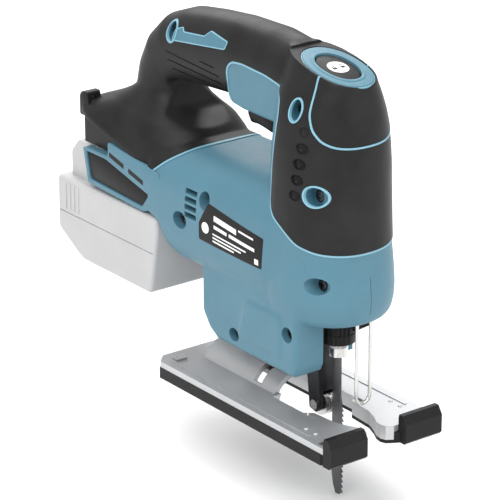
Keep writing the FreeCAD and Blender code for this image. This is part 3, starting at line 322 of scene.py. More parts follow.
@dataclass(frozen=True)
class BrushedMetal:
    """Rolled or ground metal with fine lines along one axis."""

    name: str
    tint: Colour
    dark: Colour
    along: Axis = Axis.X
    rough: float = 0.3
    metallic: float = 1.0
    line: float = 0.35
    depth: float = 0.012

    def material(self) -> bpy.types.Material:
        """Build the node material.

        Returns:
            The finished material.
        """
        recipe = Recipe(self.name)
        stretch = [1.0, 1.0, 1.0]
        stretch[self.along.value] = 0.03
        lines = recipe.noise(self.line, 3, 0.6, tuple(stretch))
        stains = recipe.noise(14, 4, 0.6)
        nicks = recipe.noise(1.6, 3, 0.7).above(0.72, 0.03)
        shade = recipe.mix(recipe.clamp(lines * 0.55 + stains * 0.45), self.dark, self.tint)
        worn = recipe.mix(recipe.clamp(nicks * 0.35), shade, self.dark)
        rough = recipe.clamp(self.rough + (stains - 0.5) * 0.22 + (lines - 0.5) * 0.2)
        height = lines * 0.7 + nicks * -0.3
        return recipe.finish(Base_Color=worn, Metallic=self.metallic, Roughness=rough,
                             Normal=recipe.bump(height, self.depth, 0.6))


@dataclass(frozen=True)
class CastMetal:
    """Die-cast or blasted metal with a sandy skin."""

    name: str
    tint: Colour
    dark: Colour
    rough: float = 0.45
    metallic: float = 1.0

    def material(self) -> bpy.types.Material:
        """Build the node material.

        Returns:
            The finished material.
        """
        recipe = Recipe(self.name)
        sand = recipe.noise(0.5, 3, 0.7)
        flow = recipe.noise(9, 3, 0.5)
        shade = recipe.mix(recipe.clamp(flow * 0.6 + sand * 0.4), self.dark, self.tint)
        rough = recipe.clamp(self.rough + (flow - 0.5) * 0.25)
        return recipe.finish(Base_Color=shade, Metallic=self.metallic, Roughness=rough,
                             Normal=recipe.bump(sand, 0.03, 0.6))


@dataclass(frozen=True)
class PrintedFilm:
    """A glossy printed film with faint scuffs."""

    name: str
    tint: Colour
    faded: Colour
    rough: float = 0.3
    shine: float = 0.35

    def material(self) -> bpy.types.Material:
        """Build the node material.

        Returns:
            The finished material.
        """
        recipe = Recipe(self.name)
        scuffs = recipe.noise(1.2, 4, 0.7, (1, 1, 0.2)).above(0.66, 0.06)
        haze = recipe.noise(11, 2, 0.5)
        shade = recipe.mix(recipe.clamp(scuffs * 0.3 + haze * 0.25), self.tint, self.faded)
        rough = recipe.clamp(self.rough + scuffs * 0.25 + (haze - 0.5) * 0.1)
        return recipe.finish(Base_Color=shade, Roughness=rough, Specular_IOR_Level=self.shine,
                             Normal=recipe.bump(haze, 0.02, 0.3))


@dataclass(frozen=True)
class StudioFloor:
    """A seamless pale paper floor."""

    name: str = "paper_floor"
    tint: Colour = (0.92, 0.92, 0.92)

    def material(self) -> bpy.types.Material:
        """Build the node material.

        Returns:
            The finished material.
        """
        recipe = Recipe(self.name)
        tooth = recipe.noise(3, 2, 0.5)
        shade = recipe.mix(tooth * 0.06, self.tint, (0.86, 0.86, 0.87))
        return recipe.finish(Base_Color=shade, Roughness=recipe.clamp(0.8 + tooth * 0.1))


class Finishes:
    """Every material of the saw, built once."""

    def __init__(self) -> None:
        """Build each finish."""
        self.blue = MouldedPlastic("teal_nylon", (0.072, 0.182, 0.242), (0.060, 0.158, 0.213),
                                   (0.13, 0.27, 0.34), shine=0.35).material()
        # A lighter copy of the teal: painted highlight for raised edges, rims and trim lines.
        self.rim = MouldedPlastic("teal_rim_highlight", (0.19, 0.39, 0.49), (0.155, 0.33, 0.42),
                                  (0.30, 0.52, 0.62), rough=0.38).material()
        # A darker copy of the teal: painted shade for recess floors, linings and vent slots.
        self.recess = MouldedPlastic("teal_recess_shade", (0.030, 0.110, 0.155), (0.022, 0.085, 0.125),
                                     (0.06, 0.17, 0.22)).material()
        self.black = MouldedPlastic("black_nylon", (0.011, 0.0105, 0.011), (0.007, 0.007, 0.0075),
                                    (0.035, 0.035, 0.036), rough=0.4, grain=0.4, shine=0.14).material()
        self.grip = SoftGrip().material()
        self.grey = MouldedPlastic("pale_grey_nylon", (0.44, 0.44, 0.445), (0.39, 0.39, 0.395),
                                   (0.56, 0.56, 0.56), rough=0.5).material()
        self.white = PrintedFilm("white_print", (0.86, 0.86, 0.85), (0.7, 0.7, 0.7)).material()
        self.ink = PrintedFilm("black_print", (0.012, 0.011, 0.0115), (0.03, 0.03, 0.03),
                               shine=0.1).material()
        self.plate = BrushedMetal("satin_plate", (0.60, 0.61, 0.62), (0.38, 0.385, 0.395),
                                  rough=0.46, metallic=0.72).material()
        self.steel = BrushedMetal("ground_steel", (0.72, 0.71, 0.69), (0.42, 0.41, 0.40),
                                  along=Axis.Z, rough=0.24).material()
        self.blade = BrushedMetal("blade_steel", (0.16, 0.16, 0.17), (0.07, 0.07, 0.075),
                                  along=Axis.Z, rough=0.38, metallic=0.8).material()
        self.dark = CastMetal("blackened_steel", (0.06, 0.06, 0.063), (0.025, 0.025, 0.027),
                              rough=0.36).material()
        self.cast = CastMetal("blasted_alloy", (0.58, 0.58, 0.60), (0.38, 0.38, 0.40)).material()
        self.copper = BrushedMetal("turned_copper", (0.72, 0.36, 0.20), (0.42, 0.18, 0.10)).material()
        self.bronze = CastMetal("sintered_bronze", (0.50, 0.34, 0.16), (0.33, 0.21, 0.09)).material()
        self.lens = PrintedFilm("clear_lens", (0.75, 0.80, 0.84), (0.6, 0.64, 0.68), rough=0.1).material()


# -------------------------------------------------------------- mesh tools


def oval_ring(centre: Point3, across: Vector, up: Vector, sizes: Sequence[float],
              power: float, count: int, rear_power: float | None = None) -> np.ndarray:
    """One rounded ring of points.

    Args:
        centre: the ring's middle.
        across: unit direction of the first size.
        up: unit direction of the second size.
        sizes: half sizes: across ahead, across behind, up.
        power: 2 is an ellipse, more is squarer.
        count: how many points.
        rear_power: the power behind the middle, if it differs.

    Returns:
        An array of points, one row each.
    """
    turns = np.linspace(0, 2 * math.pi, count, endpoint=False)
    cosine, sine = np.cos(turns), np.sin(turns)
    reach = np.where(cosine > 0, sizes[0], sizes[1])
    bend = 2 / np.where(cosine > 0, power, rear_power or power)
    u = np.sign(cosine) * np.abs(cosine) ** bend * reach
    v = np.sign(sine) * np.abs(sine) ** bend * sizes[2]
    return np.array(centre) + np.outer(u, across) + np.outer(v, up)


def rounded(corners: Sequence[Point], radius: float, steps: int = 5) -> list[Point]:
    """An outline with its corners eased by short curves.

    Args:
        corners: the outline's corners in order.
        radius: how far from each corner its curve starts.
        steps: points along each curve.

    Returns:
        The eased outline.
    """
    eased = []
    for index, corner in enumerate(corners):
        here = Vector(corner)
        before = Vector(corners[index - 1]) - here
        after = Vector(corners[(index + 1) % len(corners)]) - here
        start = here + before.normalized() * min(radius, before.length * 0.45)
        end = here + after.normalized() * min(radius, after.length * 0.45)
        for step in range(steps + 1):
            share = step / steps
            spot = start.lerp(here, share).lerp(here.lerp(end, share), share)
            eased.append((spot.x, spot.y))
    return eased


def widened(outline: Sequence[Point], distance: float) -> list[Point]:
    """An outline moved outwards by a distance along its corners' bisectors.

    Args:
        outline: the outline's corners in order.
        distance: how far, in millimetres; less than nought is inwards.

    Returns:
        The outline.
    """
    count = len(outline)
    turn = sum(outline[i][0] * outline[(i + 1) % count][1] - outline[(i + 1) % count][0] * outline[i][1]
               for i in range(count))
    side = 1 if turn > 0 else -1
    moved = []
    for index, corner in enumerate(outline):
        ahead = Vector(outline[(index + 1) % count]) - Vector(outline[index - 1])
        out = Vector((ahead.y, -ahead.x)).normalized() * side * distance
        moved.append((corner[0] + out.x, corner[1] + out.y))
    return moved


class Solid:
    """A closed mesh under construction, in millimetres."""

    def __init__(self, points: Iterable[Sequence[float]], faces: Iterable[Sequence[int]]) -> None:
        """Keep the points and faces as a Blender mesh.

        Args:
            points: the corners.
            faces: the corners of each face.
        """
        self.mesh = bpy.data.meshes.new("solid")
        self.mesh.from_pydata([tuple(point) for point in points], [], [tuple(face) for face in faces])
        self._turn_outwards()

    @classmethod
    def of(cls, mesh: bpy.types.Mesh) -> "Solid":
        """Wrap a mesh that already exists.

        Args:
            mesh: the mesh wrapped.

        Returns:
            The new solid.
        """
        made = cls.__new__(cls)
        made.mesh = mesh
        return made

    @classmethod
    def loft(cls, rings: Sequence[np.ndarray]) -> "Solid":
        """A solid skinned over rings of equal count, its ends capped.

        Args:
            rings: the rings in order.

        Returns:
            The new solid.
        """
        count = len(rings[0])
        points = np.vstack(rings)
        faces = [tuple(range(count))[::-1]]
        for row in range(len(rings) - 1):
            for column in range(count):
                after = (column + 1) % count
                faces.append((row * count + column, row * count + after,
                              (row + 1) * count + after, (row + 1) * count + column))
        faces.append(tuple(range((len(rings) - 1) * count, len(rings) * count)))
        return cls(points, faces)

    @classmethod
    def prism(cls, outline: Sequence[Point], axis: Axis, low: float, high: float) -> "Solid":
        """An outline pushed along an axis.

        Args:
            outline: corners in the other two axes, in X, Y, Z order.
            axis: the direction pushed along.
            low: where it starts.
            high: where it ends.

        Returns:
            The prism.
        """
        rings = []
        for level in (low, high):
            ring = [list(corner) for corner in outline]
            for corner in ring:
                corner.insert(axis.value, level)
            rings.append(np.array(ring, float))
        return cls.loft(rings)

    @classmethod
    def drum(cls, axis: Axis, centre: Point, radius: float, low: float, high: float,
             tall: float | None = None, count: int = 40) -> "Solid":
        """A round or oval drum along an axis.

        Args:
            axis: the direction pushed along.
            centre: its middle in the other two axes.
            radius: the radius.
            low: where it starts.
            high: where it ends.
            tall: its second half size, if it is oval.
            count: points round it.

        Returns:
            The new solid.
        """
        outline = [(centre[0] + radius * math.cos(2 * math.pi * k / count),
                    centre[1] + (tall or radius) * math.sin(2 * math.pi * k / count))
                   for k in range(count)]
        return cls.prism(outline, axis, low, high)

    @classmethod
    def block(cls, x: Point, y: Point, z: Point) -> "Solid":
        """A plain block between two values on each axis."""
        outline = [(x[0], y[0]), (x[1], y[0]), (x[1], y[1]), (x[0], y[1])]
        return cls.prism(outline, Axis.Z, *z)

    def _turn_outwards(self) -> None:
        """Make every face look outwards."""
        edit = bmesh.new()
        edit.from_mesh(self.mesh)
        bmesh.ops.recalc_face_normals(edit, faces=edit.faces)
        edit.to_mesh(self.mesh)
        edit.free()

    def _through(self, setup: Callable[[bpy.types.Object], None]) -> "Solid":
        """Run modifiers over the mesh.

        Args:
            setup: adds the modifiers to a working object.

        Returns:
            The result as a new solid.
        """
        work = bpy.data.objects.new("work", self.mesh)
        bpy.context.scene.collection.objects.link(work)
        setup(work)
        graph = bpy.context.evaluated_depsgraph_get()
        made = bpy.data.meshes.new_from_object(work.evaluated_get(graph))
        bpy.data.objects.remove(work)
        return Solid.of(made)

    def _combine(self, others: Sequence["Solid"], operation: str) -> "Solid":
        """Boolean this solid with others, one after another.

        Args:
            others: the other solids.
            operation: the boolean's name.

        Returns:
            The new solid.
        """
        tools = []

        def setup(work: bpy.types.Object) -> None:
            """Add one boolean for each of the others.

            Args:
                work: the working object.
            """
            for other in others:
                tool = bpy.data.objects.new("tool", other.mesh)
                bpy.context.scene.collection.objects.link(tool)
                tools.append(tool)
                step = work.modifiers.new("step", "BOOLEAN")
                step.solver = "MANIFOLD"
                step.operation = operation
                step.object = tool

        made = self._through(setup)
        for tool in tools:
            bpy.data.objects.remove(tool)
        return made

    def less(self, *others: "Solid") -> "Solid":
        """This solid with the others cut away."""
        return self._combine(others, "DIFFERENCE")

    def shared(self, *others: "Solid") -> "Solid":
        """What this solid shares with each of the others."""
        return self._combine(others, "INTERSECT")

    def joined(self, *others: "Solid") -> "Solid":
        """This solid and the others as one."""
        return self._combine(others, "UNION")

    def beside(self, *others: "Solid") -> "Solid":
        """All the solids kept apart in one mesh.

        Args:
            others: the other solids.

        Returns:
            The new solid.
        """
        edit = bmesh.new()
        for solid in (self, *others):
            edit.from_mesh(solid.mesh)
        mesh = bpy.data.meshes.new("solid")
        edit.to_mesh(mesh)
        edit.free()
        return Solid.of(mesh)

    def melted(self, voxel: float, passes: int) -> "Solid":
        """The solid remade from voxels and smoothed, so its joints blend.

        Args:
            voxel: the voxels' size.
            passes: how often it is smoothed.

        Returns:
            The new solid.
        """
        def setup(work: bpy.types.Object) -> None:
            """Add the voxel remake and the smoothing.

            Args:
                work: the working object.
            """
            remake = work.modifiers.new("remake", "REMESH")
            remake.mode = "VOXEL"
            remake.voxel_size = voxel
            ease = work.modifiers.new("ease", "SMOOTH")
            ease.factor = 0.5
            ease.iterations = passes
        return self._through(setup)

    def softened(self, radius: float, segments: int = 3, angle: float = 40) -> "Solid":
        """The solid with its sharp edges rounded.

        Args:
            radius: the radius.
            segments: faces along each rounding.
            angle: edges sharper than this, in degrees.

        Returns:
            The new solid.
        """
        def setup(work: bpy.types.Object) -> None:
            """Add the rounding of edges.

            Args:
                work: the working object.
            """
            ease = work.modifiers.new("ease", "BEVEL")
            ease.width = radius
            ease.segments = segments
            ease.limit_method = "ANGLE"
            ease.angle_limit = math.radians(angle)
        return self._through(setup)

    def grown(self, distance: float) -> "Solid":
        """The solid with its skin moved outwards.

        Args:
            distance: how far, in millimetres; less than nought is inwards.

        Returns:
            The new solid.
        """
        mesh = self.mesh.copy()
        count = len(mesh.vertices)
        places = np.empty(count * 3)
        normals = np.empty(count * 3)
        mesh.vertices.foreach_get("co", places)
        mesh.vertex_normals.foreach_get("vector", normals)
        mesh.vertices.foreach_set("co", places + normals * distance)
        mesh.update()
        return Solid.of(mesh)

    def turned(self, turn: Matrix, about: Point3 = (0, 0, 0)) -> "Solid":
        """The solid turned about a point.

        Args:
            turn: the turn.
            about: the point that stays put.

        Returns:
            The new solid.
        """
        mesh = self.mesh.copy()
        centre = Matrix.Translation(Vector(about))
        mesh.transform(centre @ turn.to_4x4() @ centre.inverted())
        return Solid.of(mesh)

    def mirrored(self) -> "Solid":
        """The same solid on the other side of the centre plane.

        Returns:
            The new solid.
        """
        mesh = self.mesh.copy()
        mesh.transform(Matrix.Diagonal((1, -1, 1, 1)))
        made = Solid.of(mesh)
        made._turn_outwards()
        return made

    def painted(self, slot: int) -> "Solid":
        """The solid with every face in one material slot."""
        self.mesh.polygons.foreach_set("material_index", [slot] * len(self.mesh.polygons))
        return self


def spots_mesh(spots: Sequence[Point3]) -> bpy.types.Mesh:
    """A mesh of loose points.

    Args:
        spots: where the points go.

    Returns:
        The mesh.
    """
    mesh = bpy.data.meshes.new("spots")
    mesh.from_pydata([tuple(spot) for spot in spots], [], [])
    return mesh


@dataclass
class Repeater:
    """A Geometry Nodes tree that sets one template on every spot."""

    name: str = "set_on_spots"
    tree: bpy.types.NodeTree = field(init=False)
    inputs: dict[str, str] = field(init=False, default_factory=dict)

    def __post_init__(self) -> None:
        """Build the tree with its named inputs."""
        self.tree = bpy.data.node_groups.new(self.name, "GeometryNodeTree")
        face = self.tree.interface
        face.new_socket("Spots", in_out="INPUT", socket_type="NodeSocketGeometry")
        for label, kind in (("Template", "NodeSocketObject"), ("Size", "NodeSocketFloat"),
                            ("Finish", "NodeSocketMaterial")):
            made = face.new_socket(label, in_out="INPUT", socket_type=kind)
            self.inputs[label] = made.identifier
        face.new_socket("Geometry", in_out="OUTPUT", socket_type="NodeSocketGeometry")
        nodes, links = self.tree.nodes, self.tree.links
        entry, leave = nodes.new("NodeGroupInput"), nodes.new("NodeGroupOutput")
        points = nodes.new("GeometryNodeMeshToPoints")
        info = nodes.new("GeometryNodeObjectInfo")
        setter = nodes.new("GeometryNodeInstanceOnPoints")
        real = nodes.new("GeometryNodeRealizeInstances")
        paint = nodes.new("GeometryNodeSetMaterial")
        links.new(entry.outputs["Spots"], points.inputs["Mesh"])
        links.new(entry.outputs["Template"], info.inputs["Object"])
        links.new(points.outputs["Points"], setter.inputs["Points"])
        links.new(info.outputs["Geometry"], setter.inputs["Instance"])
        links.new(entry.outputs["Size"], setter.inputs["Scale"])
        links.new(setter.outputs["Instances"], real.inputs["Geometry"])
        links.new(real.outputs["Geometry"], paint.inputs["Geometry"])
        links.new(entry.outputs["Finish"], paint.inputs["Material"])
        links.new(paint.outputs["Geometry"], leave.inputs[0])

    def lay(self, template: Solid, spots: Sequence[Point3], finish: bpy.types.Material,
            size: float = 1.0) -> Solid:
        """Repeat a template on every spot.

        Args:
            template: the solid repeated, made about the origin.
            spots: where each copy goes.
            finish: the material given to every copy.
            size: how much each copy is scaled.

        Returns:
            All the copies in one solid.
        """
        stamp = bpy.data.objects.new("stamp", template.mesh)
        work = bpy.data.objects.new("spots", spots_mesh(spots))
        for item in (stamp, work):
            bpy.context.scene.collection.objects.link(item)
        step = work.modifiers.new("repeat", "NODES")
        step.node_group = self.tree
        for label, value in (("Template", stamp), ("Size", size), ("Finish", finish)):
            step[self.inputs[label]] = value
        graph = bpy.context.evaluated_depsgraph_get()
        made = bpy.data.meshes.new_from_object(work.evaluated_get(graph))
        for item in (stamp, work):
            bpy.data.objects.remove(item)
        return Solid.of(made)


@dataclass
class Workshop:
    """Turns solids into pieces of the saw."""

    finishes: Finishes
    repeater: Repeater

    def piece(self, name: str, solid: Solid, body: Body, finishes: Sequence[bpy.types.Material],
              replaces: Sequence[str] = (), sharp: float = 38) -> bpy.types.Object:
        """Make one finished piece.

        Args:
            name: the piece's name.
            solid: its shape in millimetres.
            body: the body it rides on.
            finishes: its material slots in order.
            replaces: the nodes it stands for.
            sharp: the angle above which an edge stays crisp, in degrees.

        Returns:
            The piece's object.
        """
        mesh = solid.mesh
        mesh.name = name
        mesh.transform(Matrix.Scale(MM, 4))
        paint = [0] * len(mesh.polygons)
        mesh.polygons.foreach_get("material_index", paint)
        mesh.materials.clear()
        for finish in finishes:
            mesh.materials.append(finish)
        mesh.polygons.foreach_set("material_index", paint)
        mesh.polygons.foreach_set("use_smooth", [True] * len(mesh.polygons))
        mesh.set_sharp_from_angle(angle=math.radians(sharp))
        made = bpy.data.objects.new(name, mesh)
        bpy.context.scene.collection.objects.link(made)
        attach(made, body.value)
        if replaces:
            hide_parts(*replaces)
        LOG.info("%s: %d faces on %s", name, len(mesh.polygons), body.value)
        return made

    def dress(self, finish: bpy.types.Material, *nodes: str) -> None:
        """Give carried-over nodes a finish.

        Args:
            finish: the material they get.
            nodes: the nodes dressed.
        """
        for node in nodes:
            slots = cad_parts[node].data.materials
            slots.clear()
            slots.append(finish)
            LOG.info("%s: dressed with %s", node, finish.name)


# ---------------------------------------------------------- the main shells

X_AXIS, Y_AXIS, Z_AXIS = Vector((1, 0, 0)), Vector((0, 1, 0)), Vector((0, 0, 1))


@dataclass
class Crown:
    """The sloping oval on top of the head: bezel, button and emblem."""

    middle: Point3 = (-2.9, 0, 200.8)
    slope: float = 12.0
    long: float = 22.8
    wide: float = 15.2
    mouth_long: float = 14.9
    mouth_wide: float = 9.8

    def disc(self, share: float, low: float, high: float) -> Solid:
        """An oval disc on the crown, a share of the bezel's size."""
        return self.oval(self.long * share, self.wide * share, low, high)

    def oval(self, long: float, wide: float, low: float, high: float) -> Solid:
        """An oval disc on the crown of given half sizes.

        Args:
            long: half its size along the saw.
            wide: half its size across the saw.
            low: where it starts.
            high: where it ends.

        Returns:
            The new solid.
        """
        turn = math.radians(self.slope)
        across = Vector((math.cos(turn), 0, -math.sin(turn)))
        out = Vector((math.sin(turn), 0, math.cos(turn)))
        rings = [oval_ring(Vector(self.middle) + out * level, across, Y_AXIS, (long, long, wide), 2.1, 72)
                 for level in (low, high)]
        return Solid.loft(rings)

    def build(self, shop: Workshop) -> None:
        """Make the bezel, the button and its emblem.

        Args:
            shop: the workshop that finishes the pieces.
        """
        finishes = shop.finishes
        mouth = self.oval(self.mouth_long, self.mouth_wide, -8, 4)
        ring = self.disc(1.0, -4.5, 0.2).less(mouth).softened(0.8, 4)
        inner = self.oval(17.2, 11.8, -0.2, 0.5).less(mouth).softened(0.3, 2)
        # A thin outer edge in the lighter teal: a painted highlight round the bezel.
        edge = self.disc(1.02, -1.6, -0.35).less(self.disc(0.985, -9, 4)).softened(0.2, 2)
        shop.piece("button_bezel", ring.painted(0).beside(inner.painted(0), edge.painted(1)), Body.TOOL,
                   (finishes.blue, finishes.rim), ("button_bezel",))
        button = self.oval(14.5, 9.4, -4.4, -0.3).softened(0.9, 4)
        shop.piece("lock_button", button, Body.BUTTON, (finishes.black,),
                   ("lock_button",))
        disc = self.oval(5.9, 5.6, -0.5, -0.12)
        marks = self._marks()
        shop.piece("button_emblem", disc.painted(0).beside(*[mark.painted(1) for mark in marks]),
                   Body.BUTTON, (finishes.white, finishes.ink), ("button_emblem",))

    def _marks(self) -> list[Solid]:
        """Two little padlocks, shut and open, with a stroke between them.

        Returns:
            The solids, one for each.
        """
        turn = math.radians(self.slope)
        across = Vector((math.cos(turn), 0, -math.sin(turn)))
        out = Vector((math.sin(turn), 0, math.cos(turn)))
        base = Vector(self.middle)

        def slab(outline: Sequence[Point]) -> Solid:
            """A thin mark lying on the emblem.

            Args:
                outline: corners along and across the crown.

            Returns:
                The new solid.
            """
            rings = []
            for level in (-0.2, -0.02):
                rings.append(np.array([base + across * u + Y_AXIS * v + out * level
                                       for u, v in outline]))
            return Solid.loft(rings)

        marks = [slab([(-3.6, -0.18), (3.6, -0.5), (3.6, -0.2), (-3.6, 0.12)])]
        for side, lift in ((-1, 0.0), (1, 0.5)):
            v = 2.6 * side
            top, inside = -1.6 - lift, -1.2 - lift
            marks.append(slab([(-0.2, v - 1.2), (1.7, v - 1.2), (1.7, v + 1.2), (-0.2, v + 1.2)]))
            marks.append(slab([(top, v - 0.9), (-0.3, v - 0.9), (-0.3, v - 0.5), (inside, v - 0.5),
                               (inside, v + 0.5), (-0.8, v + 0.5), (-0.8, v + 0.9), (top, v + 0.9)]))
        return marks


@dataclass
class Shells:
    """The moulded body, head and handle, and where each colour lies."""

    voxel: float = 1.15
    smoothings: int = 6
    step: float = 0.5
    lip: float = 1.1
    crown: Crown = field(default_factory=Crown)
    around: int = 72

    HEAD = (
        # height, front, half width
        (65.6, 20.0, 26.0), (67.2, 23.2, 29.6), (70.5, 25.2, 31.8), (76.0, 26.4, 33.0),
        (83.0, 26.7, 33.4), (93.0, 25.7, 33.2), (104.0, 24.3, 32.4), (118.0, 23.8, 31.8),
        (136.0, 23.4, 31.2), (150.0, 23.1, 30.8), (160.0, 22.8, 30.0), (172.0, 22.0, 28.4),
        (179.0, 21.3, 26.6), (187.0, 20.4, 23.4), (194.0, 19.6, 19.8), (201.0, 19.2, 16.6),
        (209.0, 18.0, 14.0),
    )
    BODY = (
        # along, half width, half height
        (-124.0, 36.7, 34.0), (-112.0, 36.8, 34.2), (-100.0, 36.8, 34.4),
        (-60.0, 36.6, 34.4), (-36.0, 36.0, 34.2), (-22.0, 35.2, 33.6), (-10.0, 33.0, 32.0),
        (4.0, 27.0, 27.0),
    )
    HANDLE = (
        # along, height, half height, half width, lean
        (-8.0, 184.0, 17.6, 15.5, -90), (-20.0, 185.6, 19.6, 16.4, -90),
        (-34.0, 187.6, 20.9, 16.9, -90), (-50.0, 188.9, 21.6, 17.2, -90),
        (-80.0, 188.3, 21.7, 17.2, -90), (-104.0, 186.4, 21.3, 17.2, -92),
        (-121.0, 184.4, 20.8, 17.2, -100), (-133.5, 180.5, 20.0, 17.2, -118),
        (-142.5, 173.5, 18.8, 17.2, -140), (-148.0, 164.5, 17.8, 17.3, -162),
        (-150.5, 155.0, 17.6, 17.6, -180), (-150.5, 146.0, 18.4, 18.4, -180),
    )
    SKIRT = (
        # front, height in front, rear, height behind, half width, squareness of the rear
        (-134.0, 160.0, -166.0, 160.0, 16.8, 2.3), (-131.0, 153.5, -167.5, 154.5, 18.0, 2.4),
        (-127.0, 149.0, -173.0, 150.4, 20.8, 2.7), (-118.0, 144.2, -180.0, 146.6, 24.6, 3.2),
        (-108.0, 139.6, -187.0, 143.6, 28.6, 4.0), (-100.0, 131.0, -193.0, 141.2, 32.4, 5.0),
        (-97.0, 113.4, -197.0, 139.4, 35.2, 6.0), (-97.0, 109.0, -197.0, 135.0, 35.4, 6.0),
    )

    def head(self, less: float = 0.0) -> Solid:
        """The head column, its flat rear facing the hand hole.

        Args:
            less: how much smaller than its full size.

        Returns:
            The new solid.
        """
        rings = []
        for height, front, half in self.HEAD:
            rings.append(oval_ring((-12, 0, height), X_AXIS, Y_AXIS,
                                   (front + 12 - less, 22.5 - less, half - less), 2.25, self.around))
        above = self.crown.oval(200, 120, 0.6, 120)
        return Solid.loft(rings).less(above)

    def barrel(self) -> Solid:
        """The motor body that lies along the tool.

        Returns:
            The new solid.
        """
        rings = [oval_ring((along, 0, 102), Y_AXIS, Z_AXIS, (half, half, tall), 3.1, self.around)
                 for along, half, tall in self.BODY]
        return Solid.loft(rings)

    def case(self) -> Solid:
        """The gear case under the body, its lower rear corner cut away.

        Returns:
            The new solid.
        """
        outline = rounded([(-79, 50), (-72.5, 41), (-66, 38), (-2, 37), (3.4, 40), (3.4, 84), (-79, 84)], 2)
        block = Solid.prism(outline, Axis.Y, -31.6, 31.6).softened(2.0, 3)
        shoe = Solid.prism(rounded([(-68, 36.4), (2, 36.4), (2, 46), (-74, 46)], 2), Axis.Y, -30.2, 30.2)
        tip = Solid.drum(Axis.Y, (-2.4, 41.8), 5.4, -31, -13.2)
        panel = Solid.prism(rounded([(-46, 45), (-9, 45), (-9, 68), (-40, 68)], 3), Axis.Y, -32.6, 0)
        return block.joined(shoe, tip, panel.softened(0.8, 2))

    def handle(self) -> Solid:
        """The bar of the handle, its rear bend and the neck.

        Returns:
            The new solid.
        """
        rings = []
        for along, height, tall, half, lean in self.HANDLE:
            turn = math.radians(lean)
            across = Vector((math.cos(turn), 0, -math.sin(turn)))
            rings.append(oval_ring((along, 0, height), across, Y_AXIS, (tall, tall, half), 2.25, self.around))
        return Solid.loft(rings)

    def skirt(self) -> Solid:
        """The skirt that flares from the neck over the battery.

        Returns:
            The new solid.
        """
        rings = []
        for front, low, rear, high, half, power in self.SKIRT:
            tilt = (high - low) / (front - rear)
            rings.append(oval_ring((-150, 0, low + tilt * (front + 150)), Vector((1, 0, -tilt)), Y_AXIS,
                                   (front + 150, -150 - rear, half), 2.6, self.around, power))
        return Solid.loft(rings)

    def everything(self) -> Solid:
        """The whole outside as one blended solid.

        Returns:
            The new solid.
        """
        guard = Solid.prism(rounded([(-78, 172), (-72, 163.6), (-30, 163.6), (-30, 192), (-78, 192)], 5),
                            Axis.Y, -16.2, 16.2).softened(5.5, 5)
        rough = self.head().joined(self.barrel(), self.case(), self.handle(), self.skirt(), guard)
        window = Solid.prism(rounded([(-135.5, 165.0), (-131, 146), (-100, 137.5), (-32, 138.2),
                                      (-32, 164.6), (-66, 165.4), (-76, 168), (-100, 165.4)], 5),
                             Axis.Y, -WIDE, WIDE)
        tuck = Solid.prism(rounded([(-135, 60), (-135, 94.6), (-120, 94.4), (-112.6, 91.5), (-108.5, 81),
                                    (-103.5, 73.6), (-97, 66), (-96, 60)], 2), Axis.Y, -WIDE, WIDE)
        return rough.less(window.softened(2.5, 3), tuck).melted(self.voxel, self.smoothings)

    def black_zone(self) -> list[Point]:
        """Side-view region of the soft skins and the handle.

        Returns:
            The outline.
        """
        return rounded([
            (-19.3, 127.5), (-19.0, 136), (-17.8, 160), (-17.2, 176), (-20, 183.5), (-28, 187.6),
            (-42, 190.4), (-62, 191.6), (-71, 190.6), (-75.4, 186), (-76.4, 177), (-74.0, 169),
            (-66, 158), (-66, 141), (-90, 139.6), (-98, 136.2), (-110, 127.6), (-121, 118.4),
            (-182, 132.6), (-205, 138.6), (-240, 143), (-240, 260), (60, 260),
            (60, 107), (26, 107.4), (13, 109), (2, 112), (-8, 118.5), (-15.4, 122.8),
        ], 3.0, 4)

    def cap_zone(self) -> list[Point]:
        """Side-view region of the front cap under the bezel."""
        return rounded([(2.0, 260), (2.4, 199), (3.6, 190), (4.2, 182), (7.4, 174.4), (12.4, 169),
                        (18, 166.2), (23.5, 165.2), (60, 165.2), (60, 260)], 2.5, 4)

    def rooms(self) -> list[Solid]:
        """The hollows for motor, gears and plunger.

        Returns:
            The solids, one for each.
        """
        motor = Solid.drum(Axis.X, (0, 102), 29.5, -95, -29).joined(
            Solid.drum(Axis.X, (0, 104), 23.5, -111, -90))
        drive = Solid.prism([(-29.4, -22), (14, -19), (14, 19), (-29.4, 22)], Axis.Z, 71, 164).joined(
            Solid.block((-25, 4), (-10, 10), (160, 190)))
        lower = Solid.block((-64, -30), (-27, 27), (41, 80))
        plunger = Solid.drum(Axis.Z, (0, 0), 8.2, 52, 74)
        return [motor, drive, lower, plunger]

    def cuts(self) -> list[Solid]:
        """The openings of the gear case and the seam down the nose.

        Returns:
            The solids, one for each.
        """
        low = Solid.block((-27, 10), (-13, 13), (30, 55))
        high = Solid.prism(rounded([(-12.6, 50), (20, 50), (20, 67.2), (-12.6, 67.2)], 3), Axis.Y, -13, 13)
        seat = Solid.drum(Axis.Y, (-34, 57), 11.2, 28.6, 50)
        sight = Solid.block((-22, 10), (19, 60), (30, 66.4)).joined(
            Solid.block((-11, 10), (12, 60), (30, 66.4)))
        seam = Solid.block((18, 60), (-0.16, 0.16), (60, 112)).less(
            Solid.block((-90, 25.4), (-9, 9), (50, 120)))
        return [low, high, seat, sight, seam]

